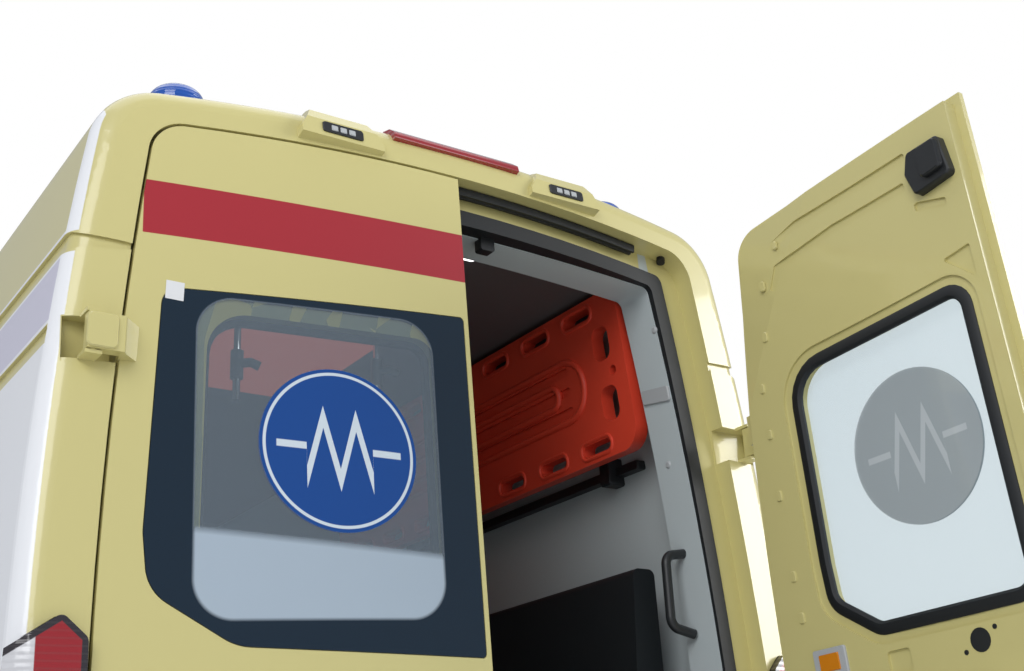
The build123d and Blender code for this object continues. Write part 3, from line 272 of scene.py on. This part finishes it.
# Disc sign on each rear pane, and its pulse line: flat, with two equal peaks in the middle
SIGN_X, SIGN_Z, SIGN_R = 0.362, 1.70, 0.19
SIGN_SOFT = 0.0006
RING_R, RING_HALF = 0.178, 0.0035
PULSE_REACH, PULSE_HALF, PULSE_SOFT = 0.15, 0.008, 0.001
PEAK_RUN, PEAK_RISE = 0.04, 0.072       # across from foot to tip, and half of the height
PEAK_EXTRA = 0.018                      # how much more of the steep line an upright cut meets
CLEAR_CENTRE, CLEAR_RADIUS = (0.402, 1.698), 0.085
FROST_Z = 1.475


def rear_glass(name, swung):
    """Door glass with a dark printed border, a clear zone and the disc sign."""
    g = Graph(name)
    back = UNSWING if swung else Matrix.Identity(4)
    x = g.size(g.along(back[0][:3], back[0][3]))
    z = g.along(back[2][:3], back[2][3])
    slope = g.add(z, g.times(x, 0.05))
    reach = (0.318, 0.400) if swung else (0.288, 0.357)
    clear = g.edge(g.box(x, slope, CLEAR_CENTRE, reach, CLEAR_RADIUS), 0.004)
    u, v = g.less(x, SIGN_X), g.less(z, SIGN_Z)
    radius = g.length(u, v)
    disc = g.edge(g.less(radius, SIGN_R), SIGN_SOFT)
    ring = g.edge(g.less(g.size(g.less(radius, RING_R)), RING_HALF), SIGN_SOFT)
    zigzag = g.math("PINGPONG", g.add(u, 4 * PEAK_RUN), PEAK_RUN)
    lift = g.less(g.times(zigzag, 2 * PEAK_RISE / PEAK_RUN), PEAK_RISE)
    middle = g.edge(g.less(g.size(u), 2 * PEAK_RUN), 0.0002)
    gap = g.size(g.less(v, g.times(middle, lift)))
    line = g.edge(g.less(gap, g.add(PULSE_HALF, g.times(middle, PEAK_EXTRA))), PULSE_SOFT)
    pulse = g.times(line, g.edge(g.less(g.size(u), PULSE_REACH), PULSE_SOFT))
    if swung:
        # seen from inside, the sign is a pale grey film
        pale, sign = PANE_OPEN, g.mix(pulse, SIGN_GREY, SIGN_GREY_LINE)
        mask = g.most(g.times(disc, 0.9), g.add(g.fresnel(1.45), 0.03))
    else:
        pale, sign = PANE_SHUT, g.mix(g.most(ring, pulse), SIGN_BLUE, SIGN_LINE)
        frost = g.edge(g.less(z, g.add(FROST_Z, g.times(x, 0.03))), 0.012)
        haze = g.most(g.times(frost, 0.85), g.add(g.fresnel(1.45), 0.17))
        mask = g.most(disc, haze)
    g.set(Roughness=0.04, IOR=1.5, Specular_IOR_Level=0.5)
    g.set(Base_Color=g.mix(disc, g.mix(clear, NAVY, pale), sign))
    g.see_through(g.most(g.less(1.0, clear), mask), PANE_TINT)
    return g.mat


# Windscreen, cab and side windows: tinted glass with a sheen
g = Graph("screen_glass")
g.set(Base_Color=SCREEN_TINT, Roughness=0.03, IOR=1.5)
g.bump(g.noise(3.0, 1.0), 0.02)
g.see_through(g.add(g.fresnel(1.5), 0.12), SCREEN_TINT)
screen_glass = g.mat

# Tail lamps: dark bezel, red ribbed lens and a clear segment outboard. The brake strip on the
# roof, above BRAKE_STRIP_Z, is all lens.
BRAKE_STRIP_Z = 1.8
BEZEL = 0.012
g = Graph("tail_lamp")
x, z = g.size(g.along(X)), g.along(Z)
above = g.less(g.add(g.times(x, 0.569), g.times(z, 0.822)), 1.612)
below = g.less(g.less(g.times(z, 0.736), g.times(x, 0.677)), 0.324)
rim = g.most(g.most(above, below), g.less(0.894, x))
bezel = g.edge(g.less(-BEZEL, rim))
strip = g.edge(g.less(BRAKE_STRIP_Z, z))
lens = g.mix(g.edge(g.less(0.99, x)), LENS_RED, LENS_CLEAR)
g.lens_ribs(22.0, 0.5)
g.set(Base_Color=g.mix(g.times(bezel, g.less(1.0, strip)), lens, LAMP_BEZEL))
g.set(Roughness=0.12, Coat_Weight=0.8, Coat_Roughness=0.03)
tail_lamp = g.mat

# Beacons: blue lens on a dark foot
BEACON_FOOT_Z = 2.592
g = Graph("beacon")
g.lens_ribs(30.0, 0.35)
g.set(Base_Color=g.mix(g.edge(g.less(g.along(Z), BEACON_FOOT_Z)), BEACON_BLUE, BEACON_FOOT))
g.set(Roughness=0.08, Coat_Weight=0.7, Coat_Roughness=0.03)
beacon = g.mat

# Lining: pale walls, dark ceiling, and the doorway's flange in body yellow
CEILING_Z, CEILING_Y = 2.415, -2.27
FLANGE_AHEAD = 0.106
g = Graph("lining")
x, y, z = g.size(g.along(X)), g.along(Y), g.along(Z)
inner = g.add(0.742, g.times(0.10, g.less(2.05, z)))
flange = g.times(g.edge(g.less(g.ahead(), FLANGE_AHEAD)), g.edge(g.less(inner, x)))
ceiling = g.times(g.edge(g.less(CEILING_Z, z)), g.edge(g.less(CEILING_Y, y)))
inside = g.mix(ceiling, LINING_WALL, LINING_CEILING)
g.set(Roughness=0.55, Base_Color=g.mix(flange, inside, YELLOW))
g.bump(g.noise(90.0), 0.05)
lining = g.mat

# Plain finishes: name, colour, roughness, grain's scale and depth
board = plain("board_plastic", (0.72, 0.06, 0.028), 0.42, 180.0, 0.08)
black_rubber = plain("black_rubber", (0.006, 0.008, 0.010), 0.6, 140.0, 0.08)
black_plastic = plain("black_plastic", (0.014, 0.016, 0.018), 0.42, 120.0, 0.05)
black_vinyl = plain("black_vinyl", (0.010, 0.013, 0.015), 0.5, 200.0, 0.1)
tyre_rubber = plain("tyre", (0.018, 0.018, 0.019), 0.75, 90.0, 0.1)
wheel_paint = plain("wheel_paint", (0.30, 0.31, 0.33), 0.35, 50.0, 0.02, Metallic=0.6)
steel = plain("bare_steel", (0.40, 0.39, 0.37), 0.38, 80.0, 0.05, Metallic=1.0)
iron = plain("cast_iron", (0.09, 0.09, 0.095), 0.65, 70.0, 0.2, Metallic=0.5)
underbody = plain("underbody", (0.035, 0.035, 0.038), 0.7, 60.0, 0.15)
seat_cloth = plain("seat_cloth", (0.05, 0.055, 0.06), 0.9, 400.0, 0.2)
headlamp = plain("headlamp", (0.55, 0.58, 0.60), 0.08, 30.0, 0.05, Metallic=0.7)
pale_trim = plain("pale_trim", (0.42, 0.44, 0.45), 0.5, 120.0, 0.04)
amber = plain("amber_lens", (0.65, 0.22, 0.01), 0.15, 200.0, 0.2)
chrome = plain("chrome", (0.75, 0.76, 0.78), 0.12, 60.0, 0.01, Metallic=1.0)
clear_lens = plain("clear_lens", (0.45, 0.47, 0.48), 0.1, 100.0, 0.05)
sticker = plain("sticker", (0.72, 0.73, 0.74), 0.5, 150.0, 0.02)
white_strip = plain("light_strip", (0.9, 0.9, 0.9), 0.5, 60.0, 0.02,
                    Emission_Color=(1.0, 0.98, 0.95, 1), Emission_Strength=2.5)
# The red vinyl glows faintly: painted light, as it is no lamp
red_vinyl_painted_glow = plain("red_vinyl_painted_glow", (0.60, 0.10, 0.05), 0.5, 160.0, 0.08,
                  Emission_Color=(0.60, 0.14, 0.08, 1), Emission_Strength=0.45)

# The solids' finishes, by the record's slot or, where two share a slot, by the node
FINISH = {
    "body_yellow": yellow, "flank_white": flank, "black_moulding": black_plastic,
    "black_rubber": black_rubber, "tyre_rubber": tyre_rubber, "wheel_steel": wheel_paint,
    "bare_steel": steel, "engine_metal": iron, "underbody": underbody, "lining_grey": lining,
    "window_glass": screen_glass, "lamp_clear": headlamp, "lamp_red": tail_lamp,
    "beacon_blue": beacon, "board_orange": board, "seat_fabric": seat_cloth,
    "seat_black": black_vinyl,
}
SPECIAL = {
    "rear_frame": corner, "left_rear_door": banded, "right_rear_door": yellow,
    "left_rear_glass": rear_glass("left_door_glass", False),
    "right_rear_glass": rear_glass("right_door_glass", True),
    "strobe_pods": yellow,
}
for entry in frame["record"]["subparts"]:
    name = entry["node"]
    finish = SPECIAL.get(name) or FINISH[entry["material_slot"]]
    nodes[name].data.materials.clear()
    nodes[name].data.materials.append(finish)

SHARP_DEG = 38


def finish_mesh(name, bm, material, body, smooth=True):
    """Turns a bmesh into a piece that rides on a body."""
    bmesh.ops.recalc_face_normals(bm, faces=bm.faces)
    mesh = bpy.data.meshes.new(name)
    bm.to_mesh(mesh)
    bm.free()
    mesh.materials.append(material)
    obj = bpy.data.objects.new(name, mesh)
    bpy.context.scene.collection.objects.link(obj)
    if smooth:
        for polygon in mesh.polygons:
            polygon.use_smooth = True
        split = obj.modifiers.new("edge_split", "EDGE_SPLIT")
        split.split_angle = math.radians(SHARP_DEG)
    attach(obj, body)


def door_piece(name, bm, material, side):
    """Turns a bmesh made on a shut rear door into a piece of it. The right door stands open."""
    door = "right" if side > 0 else "left"
    if side > 0:
        bm.transform(SWING)
    finish_mesh(f"{door}_{name}", bm, material, f"{door}_back_door")


def rect(u0, v0, u1, v1):
    """A rectangle's corners."""
    return [(u0, v0), (u1, v0), (u1, v1), (u0, v1)]


def around(u, v, half_u, half_v):
    """A rectangle's corners, from its centre and half sizes."""
    return rect(u - half_u, v - half_v, u + half_u, v + half_v)


def rounded(corners, radius, steps=6):
    """A closed outline with rounded corners. The radius is one for all or a list."""
    out = []
    count = len(corners)
    radii = radius if hasattr(radius, "__len__") else [radius] * count
    for i, (corner_point, r) in enumerate(zip(corners, radii)):
        p = Vector(corner_point)
        a = Vector(corners[i - 1]) - p
        b = Vector(corners[(i + 1) % count]) - p
        half = a.angle(b) / 2
        reach = min(r / math.tan(half), a.length * 0.49, b.length * 0.49)
        r = reach * math.tan(half)
        start, end = p + a.normalized() * reach, p + b.normalized() * reach
        centre = p + (a.normalized() + b.normalized()).normalized() * (r / math.sin(half))
        first = start - centre
        whole = first.angle_signed(end - centre)
        for k in range(steps + 1):
            t = -whole * k / steps
            spoke = Vector((first.x * math.cos(t) - first.y * math.sin(t),
                            first.x * math.sin(t) + first.y * math.cos(t)))
            out.append(tuple(centre + spoke))
    return out


def circle(cx, cz, radius, steps=20):
    """A round outline."""
    turns = [2 * math.pi * k / steps for k in range(steps)]
    return [(cx + radius * math.cos(turn), cz + radius * math.sin(turn)) for turn in turns]


def sweep(bm, path, profile, closed, face):
    """Runs a closed profile of (across, out) points along a path, with out towards face."""
    rings = []
    count = len(path)
    for i, p in enumerate(path):
        before = path[i - 1] if closed or i else p
        after = path[(i + 1) % count] if closed or i < count - 1 else p
        run = (after - before).normalized()
        across = run.cross(face).normalized()
        out = across.cross(run).normalized()
        rings.append([bm.verts.new(p + across * a + out * b) for a, b in profile])
    last = count if closed else count - 1
    for i in range(last):
        one, two = rings[i], rings[(i + 1) % count]
        for j in range(len(profile)):
            k = (j + 1) % len(profile)
            bm.faces.new((one[j], one[k], two[k], two[j]))
    if not closed:
        bm.faces.new(list(reversed(rings[0])))
        bm.faces.new(rings[-1])


def tube(bm, path, radius, face, steps, closed=False):
    """A round tube along a path."""
    sweep(bm, path, circle(0, 0, radius, steps), closed, face)


def plate(bm, outline, place, depths, inset=0.0):
    """A solid between two depths over an outline. place(u, v, depth) gives its points, and the
    far face may be smaller, with a chamfer round it."""
    near, far = depths
    step = inset if far > near else -inset
    centre = sum((Vector(p) for p in outline), Vector((0, 0))) / len(outline)
    low = [bm.verts.new(place(u, v, near)) for u, v in outline]
    middle, high = [], []
    for u, v in outline:
        middle.append(bm.verts.new(place(u, v, far - step)))
        if inset:
            pull = (centre - Vector((u, v))).normalized() * inset
            high.append(bm.verts.new(place(u + pull.x, v + pull.y, far)))
    count = len(outline)
    for i in range(count):
        k = (i + 1) % count
        bm.faces.new((low[i], low[k], middle[k], middle[i]))
        if inset:
            bm.faces.new((middle[i], middle[k], high[k], high[i]))
    bm.faces.new(list(reversed(low)))
    bm.faces.new(high or middle)


SIDES = (-1, 1)
WINDOW = [
    (0.104, 1.288), (0.545, 1.292), (0.672, 1.378), (0.676, 1.480), (0.664, 1.990), (0.104, 2.008),
]
WINDOW_RADII = [0.050, 0.060, 0.060, 0.060, 0.100, 0.050]
SEAL_DEPTH = 0.041
SEAL_PROFILE = [
    (-0.016, -0.010), (-0.016, 0.004), (-0.008, 0.010), (0.010, 0.010), (0.017, 0.003),
    (0.017, -0.004),
]
COVER_U, COVER_HALF_U, COVER_HALF_V = 0.9085, 0.0325, 0.038
INWARD = -Vector((0, -1, LEAN)).normalized()

for side in SIDES:
    # Seal round the window opening, inside the door
    bm = bmesh.new()
    ring = [skin(side * x, z, SEAL_DEPTH) for x, z in rounded(WINDOW, WINDOW_RADII)]
    sweep(bm, ring, SEAL_PROFILE, True, INWARD)
    door_piece("window_seal", bm, black_rubber, side)

    # Covers over the hinge straps, each square to its place on the leaning pin
    bm = bmesh.new()
    for level in HINGES:
        shift = PIN_TILT_X * (level - LEAN_Z)
        pin_y = REAR_Y + PIN_AHEAD + PIN_TILT_Y * (level - LEAN_Z)
        outline = rounded(around(COVER_U, level, COVER_HALF_U, COVER_HALF_V), 0.012)
        plate(bm, [(side * (u + shift), v) for u, v in outline],
              lambda u, v, d: Vector((u, pin_y + d, v)), (-0.012, -0.0205), 0.003)
    door_piece("hinge_covers", bm, yellow, side)

# Small fittings on the inside of the rear doors
PLUGS = [
    # x, z, radius
    (0.699, 2.250, 0.011), (0.722, 2.11, 0.011), (0.763, 1.975, 0.010), (0.766, 1.847, 0.010),
    (0.772, 1.681, 0.011), (0.775, 1.469, 0.011), (0.772, 1.363, 0.011), (0.631, 2.345, 0.009),
]
LATCH = [(0.040, 2.268), (0.150, 2.258), (0.168, 2.320), (0.150, 2.372), (0.052, 2.374)]
LATCH_KNOB = [(0.050, 2.286), (0.112, 2.281), (0.112, 2.360), (0.050, 2.364)]
DARK_HOLES = [
    # x, z, radius, steps
    (0.274, 1.215, 0.027, 20), (0.230, 1.236, 0.006, 12), (0.318, 1.195, 0.006, 12),
]
REFLECTOR_X, REFLECTOR_Z = 0.706, 1.241
for side in SIDES:
    def place(u, v, d):
        return skin(side * u, v, DOOR_T + d)

    bm = bmesh.new()
    for u, v, r in PLUGS:
        outline = rounded(around(u, v, r * 0.8, r * 1.3), r * 0.6, 4)
        plate(bm, outline, place, (-0.002, 0.005), 0.002)
    door_piece("door_plugs", bm, yellow, side)

    # The latch, and the dark holes low in the door
    bm = bmesh.new()
    plate(bm, rounded(LATCH, 0.012), place, (-0.002, 0.026), 0.004)
    plate(bm, rounded(LATCH_KNOB, 0.01), place, (0.024, 0.042), 0.004)
    for hole in DARK_HOLES:
        plate(bm, circle(*hole), place, (-0.001, 0.0012))
    door_piece("door_latch", bm, black_plastic, side)

    bm = bmesh.new()
    outline = rounded(around(REFLECTOR_X, REFLECTOR_Z, 0.051, 0.035), 0.006)
    plate(bm, outline, place, (-0.001, 0.007), 0.003)
    door_piece("reflector_bezel", bm, pale_trim, side)
    bm = bmesh.new()
    outline = rounded(around(REFLECTOR_X, REFLECTOR_Z, 0.031, 0.021), 0.003)
    plate(bm, outline, place, (0.005, 0.010), 0.002)
    door_piece("reflector", bm, amber, side)

# Blank sticker at the corner of the left glass
bm = bmesh.new()
plate(bm, [(-0.762, 2.003), (-0.722, 2.001), (-0.720, 2.045), (-0.760, 2.047)], skin,
      (0.001, -0.0006))
finish_mesh("glass_sticker", bm, sticker, "left_back_door", smooth=False)

# Strobes on the roof pods, whose rear faces lean forward as they rise
POD_X, POD_Z, POD_AHEAD, POD_LEAN = 0.340, 2.523, 0.0325, 0.167
LENS_STEP = 0.024
bm = bmesh.new()
lens = bmesh.new()
for side in SIDES:
    def pod(u, v, d):
        return Vector((side * POD_X + u, REAR_Y + POD_AHEAD + POD_LEAN * v + d, POD_Z + v))

    plate(bm, rounded(around(0, 0, 0.056, 0.015), 0.007), pod, (0.002, -0.004), 0.002)
    for k in (-1, 0, 1):
        outline = rounded(around(LENS_STEP * k, 0, 0.009, 0.008), 0.003)
        plate(lens, outline, pod, (-0.002, -0.006), 0.002)
finish_mesh("strobe_bezels", bm, black_plastic, "body")
finish_mesh("strobe_lenses", lens, clear_lens, "body")

# Black channel strip under the header, right of the middle
CHANNEL = [
    (-0.011, -0.012), (-0.011, 0.012), (0.011, 0.012), (0.011, 0.004), (0.004, 0.0),
    (0.011, -0.004), (0.011, -0.012),
]
HEADER_Z, HEADER_FALL = 2.4735, 0.063
bm = bmesh.new()
path = []
for k in range(25):
    x = 0.004 + k * 0.026
    path.append(skin(x, HEADER_Z - HEADER_FALL * x * x, 0.052))
sweep(bm, path, CHANNEL, False, -Y)
finish_mesh("header_strip", bm, black_rubber, "body")


def on_ceiling(z):
    """Places on a level face of height z."""
    return lambda u, v, d: Vector((u, v, z + d))


# Light strip on the ceiling
bm = bmesh.new()
plate(bm, rounded(rect(-0.26, -2.17, 0.262, -2.115), 0.01), on_ceiling(2.455), (0.004, -0.014),
      0.004)
finish_mesh("ceiling_light", bm, white_strip, "body")

# Rigid ceiling panel, faced in red vinyl, over the stretcher's place. It glows faintly: painted
# light, as it is no lamp
bm = bmesh.new()
plate(bm, rounded(rect(-0.36, -1.60, 0.34, -0.80), 0.08), on_ceiling(2.466), (0.004, -0.034),
      0.014)
finish_mesh("ceiling_panel", bm, red_vinyl_painted_glow, "body")

# Drip hangers: chrome tubes from the ceiling, each with a black clamp and its lever
HANGERS = [
    # x, y, z of the lower end
    (-0.245, -1.62, 2.10), (0.215, -1.62, 2.15),
]
bm = bmesh.new()
clamp = bmesh.new()
for x, y, low in HANGERS:
    tube(bm, [Vector((x, y, z)) for z in (2.47, low + 0.02, low)], 0.011, -Y, 14)
    tube(clamp, [Vector((x, y, low + up)) for up in (0.15, 0.145, 0.07, 0.065)], 0.019, -Y, 14)
    lever = [(0.0, -0.005, 0.11), (0.03, -0.03, 0.11), (0.055, -0.035, 0.10)]
    tube(clamp, [Vector((x + a, y + b, low + c)) for a, b, c in lever], 0.014, Z, 12)
finish_mesh("drip_hangers", bm, chrome, "body")
finish_mesh("hanger_clamps", clamp, black_plastic, "body")

TRIM_X, TRIM_Y, TRIM_Z, TRIM_LEAN = 0.728, -2.38, 2.05, 0.10815


def trim(u, v, d):
    """A place on the pale trim at the doorway's right: u ahead, v up, d out of the trim."""
    return Vector((TRIM_X + TRIM_LEAN * (TRIM_Z - v) - d, TRIM_Y + u, v))


# Clip band and dome screws on the doorway trim
bm = bmesh.new()
plate(bm, rounded([(0.004, 2.012), (0.118, 2.030), (0.118, 2.072), (0.004, 2.056)], 0.008), trim,
      (-0.004, 0.007), 0.003)
for u, v in ((0.060, 1.842), (0.020, 2.225), (0.060, 1.40)):
    plate(bm, circle(u, v, 0.011, 16), trim, (-0.006, 0.006), 0.004)
finish_mesh("trim_clips", bm, pale_trim, "body")

# Bump stop and door switch in the doorway's upper part
bm = bmesh.new()
stop = [(0.745, -2.376, 2.462), (0.741, -2.377, 2.440), (0.740, -2.378, 2.436)]
tube(bm, [Vector(p) for p in stop], 0.0125, -Y, 16)
plate(bm, rounded(rect(0.118, 2.345, 0.160, 2.392), 0.006),
      lambda u, v, d: Vector((u, -2.372 + d, v)), (0.0, 0.035), 0.004)
finish_mesh("doorway_stops", bm, black_rubber, "body")

# Moulded ribs of the spine board: two loops along its middle and a rim round each hand hole
BOARD_ORIGIN = Vector((0.775, REAR_Y + 0.275, 1.930))
BOARD_OUT = Vector((-0.993, 0, -0.11)).normalized()
BOARD_UP = Vector((-0.11, 0, 0.993)).normalized()
BOARD_FACE = 0.044
BOARD_MIDDLE = 0.245
LOOPS = [
    # from, to, half width
    (0.20, 1.62, 0.092), (0.33, 1.50, 0.034),
]
HOLE_PLACES = (0.190, 0.410, 0.640, 1.190, 1.420, 1.640)
HOLE_LEVELS = (0.042, 0.448)


def on_board(u, v):
    """A place on the board's face: u along it, v up it."""
    return BOARD_ORIGIN + Y * u + BOARD_UP * v + BOARD_OUT * BOARD_FACE


bm = bmesh.new()
for low, high, half in LOOPS:
    loop = rounded(rect(low, BOARD_MIDDLE - half, high, BOARD_MIDDLE + half), half * 0.98, 8)
    tube(bm, [on_board(u, v) for u, v in loop], 0.011, BOARD_OUT, 10, True)
for along in HOLE_PLACES:
    for v in HOLE_LEVELS:
        rim = rounded(around(along, v, 0.074, 0.026), 0.024, 5)
        tube(bm, [on_board(p, q) for p, q in rim], 0.006, BOARD_OUT, 8, True)
finish_mesh("board_ribs", bm, board, "body")

# Rail that carries the spine board's lower edge, with two brackets
WALL_X = 0.866


def on_wall(u, v, d):
    """A place on the right wall, at Y u, height v and d out of the wall."""
    return Vector((WALL_X - d, u, v))


bm = bmesh.new()
plate(bm, rounded(rect(-2.085, 1.905, -0.60, 1.932), 0.006), on_wall, (-0.008, 0.03), 0.004)
for y in (-1.98, -0.80):
    plate(bm, rounded(rect(y, 1.88, y + 0.05, 1.965), 0.008), on_wall, (-0.008, 0.055), 0.005)
finish_mesh("board_rail", bm, black_plastic, "body")

# Pull handles of the cab doors and the sliding door, each with its grip's (along, out) points
HANDLES = [
    # name, body, side, y, z
    ("left_cab_handle", "left_front_door", -1, 1.30, 1.16),
    ("right_cab_handle", "right_front_door", 1, 1.30, 1.16),
    ("sliding_handle", "body", 1, 1.01, 1.13),
]
GRIP = [(-0.078, 0.0), (-0.062, 0.028), (-0.02, 0.036), (0.03, 0.036), (0.066, 0.028), (0.08, 0.0)]
BELT_X, BELT_Z, BELT_FALL = 1.028, 1.05, 0.06
for name, body, side, y, z in HANDLES:
    bm = bmesh.new()
    face = BELT_X - BELT_FALL * (z - BELT_Z)
    plate(bm, rounded(around(0, 0, 0.09, 0.032), 0.028),
          lambda u, v, d: Vector((side * (face + d), y + u, z + v)), (-0.012, 0.004), 0.003)
    tube(bm, [Vector((side * (face + out), y + along, z)) for along, out in GRIP], 0.011, Z, 14)
    finish_mesh(name, bm, black_plastic, body)

# Handle outside on the right rear door
bm = bmesh.new()
plate(bm, rounded(rect(0.045, 0.955, 0.125, 1.115), 0.022), skin, (0.004, -0.006), 0.003)
grip = [(0.972, -0.004), (0.985, -0.030), (1.085, -0.030), (1.098, -0.004)]
tube(bm, [skin(0.085, z, depth) for z, depth in grip], 0.010, X, 14)
door_piece("rear_handle", bm, black_plastic, 1)

# Blank number plate with its lamp housing on the left rear door
bm = bmesh.new()
plate(bm, rounded(rect(-0.68, 0.800, -0.16, 0.912), 0.012), skin, (0.002, -0.005), 0.001)
finish_mesh("blank_plate", bm, sticker, "left_back_door")
bm = bmesh.new()
plate(bm, rounded([(-0.60, 0.930), (-0.24, 0.930), (-0.25, 0.966), (-0.59, 0.966)], 0.012), skin,
      (0.003, -0.024), 0.008)
finish_mesh("plate_lamp", bm, black_plastic, "left_back_door")

# Stage: pale floor, white backdrop and soft lamps
bpy.ops.mesh.primitive_plane_add(size=60, location=(0, 0, 0))
floor = bpy.context.object
floor.name = "floor"
g = Graph("pale_floor")
g.set(Base_Color=(0.72, 0.72, 0.72, 1), Roughness=0.8)
g.bump(g.noise(4.0), 0.02)
floor.data.materials.append(g.mat)

# The world is a cool grey to the object, and white where it is seen directly or through glass
world = bpy.data.worlds.new("studio")
bpy.context.scene.world = world
world.use_nodes = True
tree = world.node_tree
background = tree.nodes["Background"]
background.inputs["Strength"].default_value = 1.0
light_path = tree.nodes.new("ShaderNodeLightPath")
seen = tree.nodes.new("ShaderNodeMath")
seen.operation = "MAXIMUM"
tree.links.new(light_path.outputs["Is Camera Ray"], seen.inputs[0])
tree.links.new(light_path.outputs["Is Transmission Ray"], seen.inputs[1])
tone = tree.nodes.new("ShaderNodeMix")
tone.data_type = "RGBA"
tree.links.new(seen.outputs[0], tone.inputs["Factor"])
tone.inputs["A"].default_value = (0.42, 0.44, 0.48, 1)
tone.inputs["B"].default_value = (1.0, 1.0, 1.0, 1)
tree.links.new(tone.outputs["Result"], background.inputs["Color"])

LAMPS = [
    # name, place, target, size, watts
    ("key", (-6.5, -8.0, 6.0), (0, -2, 1.5), (6, 5), 440),
    ("fill", (8.5, -7.0, 4.5), (0, -2, 1.5), (5, 4), 560),
    ("top", (0, -1.0, 8.5), (0, -1, 1), (7, 7), 150),
    ("front", (3.0, 9.0, 5.0), (0, 1, 1), (6, 5), 420),
]
for name, place, target, size, watts in LAMPS:
    data = bpy.data.lights.new(name, "AREA")
    data.shape = "RECTANGLE"
    data.size, data.size_y = size
    data.energy = watts
    obj = bpy.data.objects.new(name, data)
    bpy.context.scene.collection.objects.link(obj)
    obj.location = place
    obj.rotation_mode = "QUATERNION"
    obj.rotation_quaternion = (Vector(target) - Vector(place)).to_track_quat("-Z", "Y")

# Camera: near the road, looking up at the open rear doors
CAMERA_AT = (-1.6961, -5.0735, 0.8241)
YAW, PITCH, ROLL = 0.61256, 0.37248, -0.05203
data = bpy.data.cameras.new("camera")
data.lens = 47.6
data.sensor_width = 36.0
data.clip_start, data.clip_end = 0.05, 200
camera = bpy.data.objects.new("camera", data)
bpy.context.scene.collection.objects.link(camera)
flat = math.cos(PITCH)
ahead = Vector((math.sin(YAW) * flat, math.cos(YAW) * flat, math.sin(PITCH)))
right = Vector((math.cos(YAW), -math.sin(YAW), 0))
up = right.cross(ahead)
rolled_right = math.cos(ROLL) * right + math.sin(ROLL) * up
rolled_up = -math.sin(ROLL) * right + math.cos(ROLL) * up
basis = Matrix((rolled_right, rolled_up, -ahead)).transposed().to_4x4()
camera.matrix_world = Matrix.Translation(CAMERA_AT) @ basis
bpy.context.scene.camera = camera
bpy.context.scene.view_settings.view_transform = "Standard"
